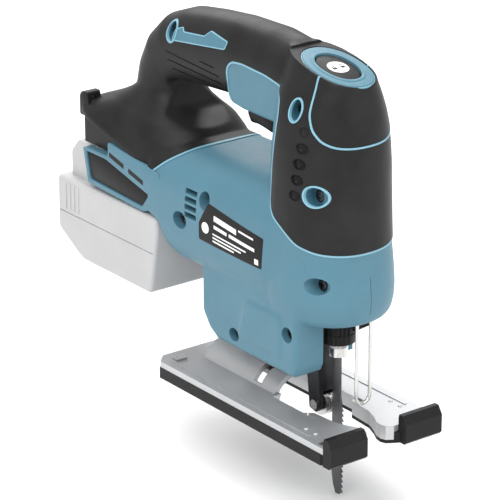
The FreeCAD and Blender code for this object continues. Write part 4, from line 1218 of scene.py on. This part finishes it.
    def build(self, shop: Workshop) -> None:
        """Make the blue shell, the black grip, the cap and the recess cups.

        Args:
            shop: the workshop that finishes the pieces.
        """
        finishes = shop.finishes
        skin = self.everything()
        proud = skin.grown(self.step)
        top = self.crown.oval(200, 120, 0.0, 120).shared(Solid.block((-29, 60), (-WIDE, WIDE), (150, 300)))
        seat = self.crown.disc(1.035, -6.6, 30)
        zone = self.black_zone()
        cap = self.cap_zone()
        wide = Solid.prism(widened(zone, 0.1), Axis.Y, -FAR, FAR)
        lip_zone = Solid.prism(widened(zone, -0.1), Axis.Y, -FAR, FAR)
        lip_out = Solid.prism(widened(zone, self.lip), Axis.Y, -FAR, FAR)
        tail = Solid.block((-260, -121.6), (-WIDE, WIDE), (60, 250)).joined(
            Solid.block((-130, -113.2), (-31, 31), (60, 116.4)))
        rooms = self.rooms()
        pockets = Recesses()
        blue = skin.less(wide, tail, *self.cuts(), *rooms, *pockets.plain_cuts(), *pockets.vents(shop))
        # A thin raised lip along the edge of the black zone in the lighter teal: a painted highlight.
        lip = skin.grown(self.step * 0.8).shared(lip_out).less(lip_zone, tail, skin.grown(-1.2))
        shop.piece("housing_shell", blue.painted(0).beside(lip.painted(1)), Body.TOOL,
                   (finishes.blue, finishes.rim), ("housing_right", "housing_left"), 32)
        cap_prism = Solid.prism(cap, Axis.Y, -FAR, FAR)
        cap_wide = Solid.prism(widened(cap, 1.0), Axis.Y, -FAR, FAR)
        hollow = Solid.block((-200, -108), (-27, 27), (90, 131)).joined(
            Solid.block((-180, -135), (-12, 12), (120, 146)))
        black = proud.shared(Solid.prism(zone, Axis.Y, -FAR, FAR)).less(
            cap_wide, top, seat, hollow, *rooms, *pockets.grip_cuts())
        liner = Solid.prism([(-190, 117), (-190, 136.5), (-124, 120.5), (-117, 120), (-117, 117)],
                            Axis.Y, -31.4, 31.4).less(Solid.block((-260, 0), (-27, 27), (60, 131)))
        black = black.beside(liner)
        shop.piece("handle_and_head_grip", black, Body.TOOL, (finishes.grip,),
                   ("handle_grip_right", "handle_grip_left", "head_grip_right", "head_grip_left"), 32)
        front = proud.shared(cap_prism).less(top, seat, *rooms)
        shop.piece("front_cap", front, Body.TOOL, (finishes.grip,), (), 32)
        # A thin line round the cap in the lighter teal: a painted highlight.
        line_in = Solid.prism(widened(cap, 0.06), Axis.Y, -FAR, FAR)
        line_out = Solid.prism(widened(cap, 0.94), Axis.Y, -FAR, FAR)
        line = skin.grown(self.step + 0.25).shared(line_out).less(line_in, top, seat, skin.grown(-1.0))
        shop.piece("cap_trim", line, Body.TOOL, (finishes.rim,), (), 32)
        cups = pockets.cups(skin)
        shop.piece("recess_cups", cups, Body.TOOL, (finishes.recess, finishes.rim), (), 32)


@dataclass
class Recesses:
    """Screw recesses, finger marks and vents of the moulded shells."""

    GRIP_CUPS = (
        # along, height, half long, half tall, depth from the centre plane
        (-5.2, 181.8, 3.8, 5.5, 20.6),
        (11.0, 139.4, 5.4, 5.2, 21.6),
        (-126.0, 193.6, 4.2, 5.4, 10.5),
    )
    PLAIN = (
        # along, height, half long, half tall, depth from the centre plane
        (13.2, 91.0, 5.8, 4.6, 21.0), (-70.4, 116, 4.6, 5.2, 29.0), (-92.0, 99.2, 6.0, 4.9, 31.0),
        (-4, 59.5, 4.2, 4.4, 26.0), (-50, 44.6, 4.4, 3.8, 24.0),
    )

    def plain_cuts(self) -> list[Solid]:
        """The recesses of the blue shell."""
        return [Solid.drum(Axis.Y, (x, z), long, -80, -deep, tall).softened(0.5, 2, 50)
                for x, z, long, tall, deep in self.PLAIN]

    def grip_cuts(self) -> list[Solid]:
        """Room for the cups, and the scooped finger marks on both sides.

        Returns:
            The solids, one for each.
        """
        cuts = [Solid.drum(Axis.Y, (x, z), long + 1.0, -80, -deep + 2, tall + 1.0)
                for x, z, long, tall, deep in self.GRIP_CUPS]
        for step in range(5):
            height = 172.5 - 8.6 * step
            along = 3.5 - 0.9 * step
            scoop = oval_ring((along, 0, height), X_AXIS, Z_AXIS, (6.6 - 0.5 * step, 3.6, 3.0), 2, 28)
            for side in (-1, 1):
                rings = []
                skin = 24.9 + 0.8 * step
                for level, share in ((skin, 0.2), (skin + 0.5, 0.62), (skin + 1.4, 0.9), (skin + 8, 1.2)):
                    middle = np.array((along, 0, height))
                    rings.append((scoop - middle) * share + middle + np.array((0, side * level, 0)))
                cuts.append(Solid.loft(rings))
        return cuts

    def cups(self, skin: Solid) -> Solid:
        """Blue cups set in the grip, with rims that follow its surface; the rims in the lighter teal are a
        painted highlight, the floors and linings in the darker teal are painted shade.

        Args:
            skin: the blended outside of the body.

        Returns:
            The new solid.
        """
        outer = skin.grown(0.85)
        made = []
        for x, z, long, tall, deep in self.GRIP_CUPS:
            wall = outer.shared(Solid.drum(Axis.Y, (x, z), long + 0.9, -80, -deep + 2, tall + 0.9))
            rim = wall.less(Solid.drum(Axis.Y, (x, z), long, -80, -deep + 1, tall))
            floor = Solid.drum(Axis.Y, (x, z), long + 0.2, -deep - 0.6, -deep + 1.5, tall + 0.2)
            # Rims take the lighter teal as a painted highlight; floors and linings take the darker teal as
            # painted shade.
            made += [rim.painted(1), floor.painted(0)]
            lining = wall.less(Solid.drum(Axis.Y, (x, z), long - 0.35, -80, -deep + 1, tall - 0.35))
            made.append(lining.shared(skin.grown(-0.5)).painted(0))
        return made[0].beside(*made[1:])

    def vents(self, shop: Workshop) -> list[Solid]:
        """Room for four level vent slots behind the label, through both flanks.

        Args:
            shop: the workshop that finishes the pieces.

        Returns:
            The solids, one for each.
        """
        outline = rounded([(-5.2, -1.5), (5.2, -1.5), (5.2, 1.5), (-5.2, 1.5)], 0.6, 3)
        slot = Solid.prism(outline, Axis.Y, -WIDE, WIDE)
        spots = [(-82.3, 0, 104.2 + 4.4 * step) for step in range(4)]
        # The cutters are given the darker teal, a painted shade meant for the slot walls.
        return [shop.repeater.lay(slot, spots, shop.finishes.recess)]


@dataclass
class BatteryCheeks:
    """The blue cheeks that the battery slides between, and their panels."""

    outline: tuple[Point, ...] = ((-181, 95.6), (-185.5, 116), (-160.7, 116.4), (-160.7, 125),
                                  (-112, 119.4), (-110.5, 99.5), (-127.4, 93.6))
    half: float = 36.0
    wall: float = 5.0

    def build(self, shop: Workshop) -> None:
        """Make both cheeks with their panels, slots and rails.

        Args:
            shop: the workshop that finishes the pieces.
        """
        finishes = shop.finishes
        parts: list[Solid] = []
        sheets = Solid.prism(rounded(self.outline, 2.0), Axis.Y, -self.half, self.half)
        inside = Solid.block((-200, -115.5), (-self.half + self.wall, self.half - self.wall), (60, 116.2))
        notch = Solid.block((-200, -119), (-27, 27), (118.6, 140))
        panel = Solid.prism(rounded([(-179.0, 98.2), (-182.6, 114.2), (-163.0, 114.2), (-121.4, 104.6),
                                     (-128.4, 96.0)], 1.6), Axis.Y, -60, -self.half + 1.5)
        far_panel = panel.mirrored()
        block = sheets.less(inside, notch, panel, far_panel).softened(0.7, 2)
        parts.append(block.painted(0))
        for side in (-1, 1):
            low, high = sorted((side * (self.half - 1.6), side * (self.half - 0.6)))
            face = Solid.prism(rounded([(-178.4, 98.8), (-181.9, 113.7), (-163.1, 113.7), (-122.3, 104.4),
                                        (-128.6, 96.6)], 1.4), Axis.Y, low, high)
            parts.append(face.softened(0.3, 2).painted(1))
            for along in (-152.5, -134.0):
                height = 114.2 - (along + 152.5) * 0.24
                corners = [(along - 7.0, height + 5.2), (along + 7.0, height + 1.8),
                           (along + 7.0, height - 1.0), (along - 7.0, height + 2.4)]
                slot = Solid.prism(rounded(corners, 0.5, 2), Axis.Y,
                                   *sorted((side * (self.half - 0.3), side * (self.half + 0.06))))
                parts.append(slot.painted(1))
            near, far = sorted((side * 27.1, side * (self.half - self.wall + 0.5)))
            parts.append(Solid.block((-180, -120), (near, far), (104, 108)).softened(0.4, 2).painted(1))
        # The third slot is the darker teal of painted shade; no face here is put in it.
        shop.piece("battery_cheeks", parts[0].beside(*parts[1:]), Body.TOOL,
                   (finishes.blue, finishes.black, finishes.recess))


@dataclass
class HandleTrim:
    """The inlay and the ribbed panel of the handle, the strap eye and the trigger."""

    def build(self, shop: Workshop) -> None:
        """Make the inlay, the ribs, the strap eye and the trigger.

        Args:
            shop: the workshop that finishes the pieces.
        """
        finishes = shop.finishes
        inlay = rounded([(-123.8, 189.8), (-122.4, 195.6), (-116.8, 197.6), (-115.1, 195.6),
                         (-96.1, 197.6), (-91.9, 201.2), (-76.0, 199.3), (-77.2, 195.6)], 0.8, 3)
        shells = Shells()
        bar = shells.handle()
        strip = bar.grown(0.55).shared(Solid.prism(inlay, Axis.Y, -40, -6)).less(bar.grown(-1.0))
        # A thin edge round the inlay in the lighter teal: a painted highlight.
        edge = bar.grown(0.75).shared(Solid.prism(widened(inlay, 0.55), Axis.Y, -40, -6)).less(
            Solid.prism(inlay, Axis.Y, -80, 0), bar.grown(-1.0))
        shop.piece("handle_inlay", strip.painted(0).beside(edge.painted(1)), Body.TOOL,
                   (finishes.blue, finishes.rim))
        rib = Solid.prism(rounded([(-24, 2.1), (24, -1.5), (24, -2.1), (-24, 1.5)], 0.3, 2), Axis.Y, -30, 30)
        rows = shop.repeater.lay(rib, [(-107.5 + 1.2 * step, 0, 184.6 - 4.6 * step) for step in range(5)],
                                 finishes.grip)
        panel = Solid.prism(rounded([(-132, 186), (-84, 182.6), (-83, 168), (-120, 169), (-128, 174)], 3),
                            Axis.Y, -40, 40)
        ribs = bar.grown(0.95).shared(rows, panel).less(bar.grown(-0.6))
        shop.piece("handle_ribs", ribs, Body.TOOL, (finishes.grip,))
        self._strap_eye(shop)
        self._trigger(shop)

    def _strap_eye(self, shop: Workshop) -> None:
        """The little eye for a strap at the skirt's rear corner.

        Args:
            shop: the workshop that finishes the pieces.
        """
        block = Solid.prism(rounded([(-194.4, 132), (-194.4, 143.4), (-192, 146.2), (-187, 146.2),
                                     (-184, 132)], 1.4), Axis.Y, -31.5, -22.5)
        eye = Solid.drum(Axis.X, (-27, 141.4), 2.0, -210, -170, 2.6)
        shop.piece("strap_eye", block.less(eye).softened(0.6, 2), Body.TOOL,
                   (shop.finishes.black,))

    def _trigger(self, shop: Workshop) -> None:
        """The trigger under the front of the handle.

        Args:
            shop: the workshop that finishes the pieces.
        """
        rings = []
        for along, low, half in ((-69.0, 161.5, 6.4), (-68.2, 157.4, 8.2), (-65.6, 155.2, 9.0),
                                 (-60.0, 155.6, 9.0), (-54.0, 154.8, 9.0), (-49.4, 153.8, 8.8),
                                 (-47.0, 155.6, 7.8)):
            rings.append(oval_ring((along, 0, (low + 172.8) / 2), Y_AXIS, Z_AXIS,
                                   (half, half, (172.8 - low) / 2), 5, 40))
        shop.piece("trigger", Solid.loft(rings).softened(0.3, 2, 60), Body.TRIGGER,
                   (shop.finishes.black,), ("trigger",), 50)


@dataclass
class RatingLabel:
    """The printed plate on the right flank: generic bars and marks only."""

    corners: tuple[Point, ...] = ((-74.5, 93.6), (-21.7, 91.6), (-20.1, 109.3), (-66.5, 116), (-74.5, 103))

    def build(self, shop: Workshop) -> None:
        """Make the film and its printed marks.

        Args:
            shop: the workshop that finishes the pieces.
        """
        finishes = shop.finishes
        skin = Shells().barrel().grown(-0.25)
        film = skin.grown(0.3).shared(Solid.prism(rounded(self.corners, 1.2), Axis.Y, -60, 0)).less(
            skin.grown(-0.6))
        ink = skin.grown(0.42)
        bars = [((-61, 107.6), (-42, 105.2), 1.5), ((-40, 107.6), (-28, 106.2), 0.5),
                ((-61, 103.4), (-50, 102.2), 0.9), ((-48, 102.2), (-27, 100), 0.9),
                ((-62, 99.6), (-34, 97.6), 0.4), ((-62, 97.6), (-38, 95.9), 0.4),
                ((-62, 95.6), (-44, 94.4), 0.4)]
        marks = []
        for (x0, z0), (x1, z1), tall in bars:
            marks.append(Solid.prism([(x0, z0), (x1, z1), (x1, z1 + tall * 2), (x0, z0 + tall * 2)],
                                     Axis.Y, -60, 0))
        marks.append(Solid.drum(Axis.Y, (-68.6, 101.6), 3.1, -60, 0))
        marks.append(Solid.prism([(-27, 93.4), (-24, 93.3), (-24, 96.3), (-27, 96.4)], Axis.Y, -60, 0))
        printed = [ink.shared(mark).less(skin.grown(-0.6)).painted(1) for mark in marks]
        shop.piece("rating_label", film.painted(0).beside(*printed), Body.TOOL,
                   (finishes.ink, finishes.white), ("rating_label",))


@dataclass
class Battery:
    """The slide-on battery and its release button."""

    half: float = 37.0

    def build(self, shop: Workshop) -> None:
        """Make the case with its ridges and the button.

        Args:
            shop: the workshop that finishes the pieces.
        """
        finishes = shop.finishes
        side = rounded([(-211.8, 92.6), (-211.8, 60), (-188, 46.6), (-120.2, 46.6), (-113.8, 84),
                        (-114.4, 92.6)], 3.5)
        lower = Solid.prism(side, Axis.Y, -self.half, self.half).softened(2.6, 4)
        upper = Solid.prism(rounded([(-206, 88), (-206, 107), (-199, 115), (-118, 115), (-118, 88)], 1.5),
                            Axis.Y, -30.4, 30.4).softened(1.0, 3)
        grooves = [Solid.block((-185, -100), span, (103.4, 108.6)) for span in ((26.6, 40), (-40, -26.6))]
        trough = Solid.block((-166, -100), (-12.6, 12.6), (101, 130))
        well = Solid.block((-215, -199.4), (-13.2, 13.2), (94.4, 130))
        line = Solid.prism([(-214, 71.2), (-214, 72.0), (-112, 72.0), (-112, 71.2)], Axis.Y, -50, 50).less(
            Solid.block((-211.2, -114), (-self.half + 0.5, self.half - 0.5), (60, 80)))
        case = lower.joined(upper).less(*grooves, trough, well, line)
        proud = self.half + 0.35
        ridge = Solid.prism(rounded([(-0.9, -8), (0.9, -8), (0.9, 8), (-0.9, 8)], 0.5, 2),
                            Axis.Y, -proud, proud)
        rows = shop.repeater.lay(ridge, [(-203 + 4.2 * step, 0, 82) for step in range(4)], finishes.grey)
        shop.piece("battery_case", case.beside(rows).painted(0), Body.BATTERY, (finishes.grey,),
                   ("battery_case",))
        button = Solid.prism(rounded([(-206.4, 98), (-206.4, 108.6), (-203, 112), (-200.1, 112),
                                      (-200.1, 98)], 1), Axis.Y, -12.7, 12.7).softened(0.8, 3)
        shop.piece("battery_button", button, Body.BATTERY_BUTTON, (finishes.grey,),
                   ("battery_button",))


@dataclass
class SawFront:
    """Tool opener, blade holder, roller, bracket and guard wire."""

    wire_forward: float = 21.0
    wire_half: float = 4.6
    wire_radius: float = 1.0
    wire_top: float = 74.8
    bend_height: float = 25.6

    def build(self, shop: Workshop) -> None:
        """Make the opener and the guard wire, and dress what holds the blade.

        Args:
            shop: the workshop that finishes the pieces.
        """
        finishes = shop.finishes
        profile = ((9.2, 50.2), (9.5, 51.0), (9.5, 55.6), (9.1, 56.0), (9.1, 60.0),
                   (9.5, 60.5), (9.5, 65.0), (9.1, 65.4), (7.6, 65.4), (7.6, 50.2))
        tube = self._turned(profile)
        outline = rounded([(8.2, -3.4), (16.6, -2.9), (18.4, -1), (18.4, 1), (16.6, 2.9), (8.2, 3.4)], 1)
        under = Solid.prism([(8, 55), (20, 55), (20, 62.5), (9.5, 57)], Axis.Y, -9, 9)
        lever = Solid.prism(outline, Axis.Z, 57, 65.3).less(under).softened(0.6, 2)
        lever = lever.turned(Matrix.Rotation(math.radians(40), 3, "Z"))
        rib = Solid.block((-0.5, 0.5), (-0.45, 0.45), (50.6, 65.0)).softened(0.2, 1)
        out = 9.35
        spots = [(out * math.cos(turn), out * math.sin(turn), 0)
                 for turn in (math.radians(120 + 15 * step) for step in range(17))]
        ribs = shop.repeater.lay(rib, spots, finishes.black)
        shop.piece("tool_opener", tube.beside(lever, ribs).painted(0), Body.OPENER, (finishes.black,),
                   ("tool_opener",))
        self._guard(shop)
        shop.dress(finishes.steel, "blade_holder", "plunger_rod", "scotch_yoke", "guide_roller",
                   "roller_axle", "arm_pivot_pin")
        shop.dress(finishes.blade, "saw_blade")
        shop.dress(finishes.dark, "roller_arm")
        shop.dress(finishes.lens, "work_light")
        shop.dress(finishes.black, "orbital_lever")

    def _turned(self, profile: Sequence[Point]) -> Solid:
        """A ring turned about the plunger's axis from a closed profile.

        Args:
            profile: radius and height of each corner.

        Returns:
            The new solid.
        """
        count = 64
        points, faces = [], []
        for step in range(count):
            turn = 2 * math.pi * step / count
            points += [(radius * math.cos(turn), radius * math.sin(turn), height)
                       for radius, height in profile]
        size = len(profile)
        for step in range(count):
            after = (step + 1) % count
            for row in range(size):
                below = (row + 1) % size
                faces.append((step * size + row, after * size + row,
                              after * size + below, step * size + below))
        return Solid(points, faces)

    def _guard(self, shop: Workshop) -> None:
        """The bent wire in front of the blade.

        Args:
            shop: the workshop that finishes the pieces.
        """
        curve = bpy.data.curves.new("guard", "CURVE")
        curve.dimensions = "3D"
        curve.bevel_depth = self.wire_radius
        curve.bevel_resolution = 5
        curve.use_fill_caps = True
        straight = (self.wire_top, 50, 30)
        bends = 12
        path = [(self.wire_half, height) for height in straight]
        for step in range(bends + 1):
            turn = math.pi * step / bends
            path.append((self.wire_half * math.cos(turn),
                         self.bend_height - self.wire_half * math.sin(turn)))
        path += [(-self.wire_half, height) for height in reversed(straight)]
        spline = curve.splines.new("POLY")
        spline.points.add(len(path) - 1)
        for point, (side, height) in zip(spline.points, path):
            point.co = (self.wire_forward, side, height, 1)
        work = bpy.data.objects.new("guard", curve)
        bpy.context.scene.collection.objects.link(work)
        graph = bpy.context.evaluated_depsgraph_get()
        solid = Solid.of(bpy.data.meshes.new_from_object(work.evaluated_get(graph)))
        bpy.data.objects.remove(work)
        shop.piece("guard_wire", solid.painted(0), Body.TOOL, (shop.finishes.steel,),
                   ("guard_wire",), 60)


@dataclass
class Base:
    """The tilting base: plate, resin cover and clips keep their nodes."""

    def build(self, shop: Workshop) -> None:
        """Dress the base and what clamps it.

        Args:
            shop: the workshop that finishes the pieces.
        """
        finishes = shop.finishes
        shop.dress(finishes.plate, "base_plate")
        shop.dress(finishes.black, "sole_cover")
        shop.dress(finishes.steel, "cover_clips", "bevel_clamp")
        shop.dress(finishes.cast, "bevel_saddle")
        shop.dress(finishes.dark, "bevel_bolt")


@dataclass
class Insides:
    """Everything shut in the housing."""

    def build(self, shop: Workshop) -> None:
        """Dress the motor, the gears and the wiring.

        Args:
            shop: the workshop that finishes the pieces.
        """
        finishes = shop.finishes
        shop.dress(finishes.steel, "armature_shaft", "armature_core", "motor_pinion", "crank_gear",
                   "gear_pin", "motor_bearings")
        shop.dress(finishes.copper, "commutator", "switch_leads", "terminals")
        shop.dress(finishes.bronze, "plunger_bushes")
        shop.dress(finishes.cast, "gear_frame")
        shop.dress(finishes.dark, "motor_field", "brushes")
        shop.dress(finishes.white, "cooling_fan", "battery_cells")
        shop.dress(finishes.black, "switch_unit", "button_switch", "controller_board", "brush_ring",
                   "terminal_block")


@dataclass
class Screws:
    """Housing screws: cross-head caps repeated at the recesses."""

    SPOTS = ((-126.0, -11.6, 193.6), (-5.2, -20.4, 181.8), (11.0, -21.4, 139.4), (13.2, -20.8, 91.0),
             (-71.5, -28.8, 117.0), (-92.5, -32.0, 99.6), (-4.0, -27.0, 59.5), (-50.0, -25.0, 44.6))

    def build(self, shop: Workshop) -> None:
        """Make one cap and set it at every spot.

        Args:
            shop: the workshop that finishes the pieces.
        """
        cap = Solid.drum(Axis.Y, (0, 0), 3.3, -1.6, 0.9).softened(0.7, 3)
        cross = [Solid.block((-1.9, 1.9), (-2, -0.5), (-0.4, 0.4)),
                 Solid.block((-0.4, 0.4), (-2, -0.5), (-1.9, 1.9))]
        heads = shop.repeater.lay(cap.less(*cross), list(self.SPOTS), shop.finishes.dark)
        shop.piece("housing_screws", heads.painted(0), Body.TOOL, (shop.finishes.dark,),
                   ("housing_screws",))


@dataclass
class Studio:
    """Floor, soft lights and the camera."""

    camera_place: Point3 = (1.0366, -0.8501, 0.6161)
    aim: Point3 = (-0.0772, 0.0, 0.0777)
    lens: float = 197.3
    sensor: float = 36.0
    floor_height: float = -0.0402
    floor_half: float = 6.0
    sky: float = 0.75

    LIGHTS = (
        # name, place, size, power
        ("key", (0.35, -1.15, 1.25), 1.0, 15.0),
        ("fill", (1.3, 0.35, 0.75), 1.1, 8.0),
        ("rim", (-1.0, 0.5, 1.0), 0.9, 9.0),
        ("top", (-0.1, -0.1, 1.5), 1.4, 13.0),
    )

    def build(self) -> None:
        """Set the floor, the lights and the camera."""
        self._floor()
        for light in self.LIGHTS:
            self._light(*light)
        world = bpy.data.worlds.new("studio")
        bpy.context.scene.world = world
        world.use_nodes = True
        sky = world.node_tree.nodes["Background"]
        sky.inputs["Color"].default_value = (1, 1, 1, 1)
        sky.inputs["Strength"].default_value = self.sky
        bpy.context.scene.view_settings.view_transform = "Standard"
        self._camera()

    def _floor(self) -> None:
        """A wide pale floor just under the blade's tip."""
        size, z = self.floor_half, self.floor_height
        mesh = bpy.data.meshes.new("floor")
        mesh.from_pydata([(-size, -size, z), (size, -size, z), (size, size, z), (-size, size, z)], [],
                         [(0, 1, 2, 3)])
        mesh.materials.append(StudioFloor().material())
        floor = bpy.data.objects.new("floor", mesh)
        bpy.context.scene.collection.objects.link(floor)

    def _toward_saw(self, place: Point3) -> Any:
        """The turn that aims a light or a camera from a place at the saw."""
        return (Vector(self.aim) - Vector(place)).to_track_quat("-Z", "Y").to_euler()

    def _light(self, name: str, place: Point3, size: float, power: float) -> None:
        """One square soft light aimed at the saw.

        Args:
            name: what it is called.
            place: where it stands, in metres.
            size: its edge in metres.
            power: its power in watts.
        """
        lamp = bpy.data.lights.new(name, "AREA")
        lamp.size = size
        lamp.energy = power
        holder = bpy.data.objects.new(name, lamp)
        holder.location = place
        holder.rotation_euler = self._toward_saw(place)
        bpy.context.scene.collection.objects.link(holder)

    def _camera(self) -> None:
        """The long lens seen from the tool's right front."""
        lens = bpy.data.cameras.new("camera")
        lens.lens = self.lens
        lens.sensor_width = self.sensor
        lens.clip_start = 0.05
        camera = bpy.data.objects.new("camera", lens)
        camera.location = self.camera_place
        camera.rotation_euler = self._toward_saw(self.camera_place)
        bpy.context.scene.collection.objects.link(camera)
        bpy.context.scene.camera = camera


def main() -> None:
    """Build every sub-assembly in order."""
    logging.basicConfig(level=logging.INFO, format="%(message)s")
    Studio().build()
    shop = Workshop(Finishes(), Repeater())
    for part in (Shells(), Crown(), BatteryCheeks(), HandleTrim(), RatingLabel(), Battery(), SawFront(),
                 Base(), Insides(), Screws()):
        part.build(shop)
        LOG.info("built %s", type(part).__name__)


if __name__ == "__main__":
    main()
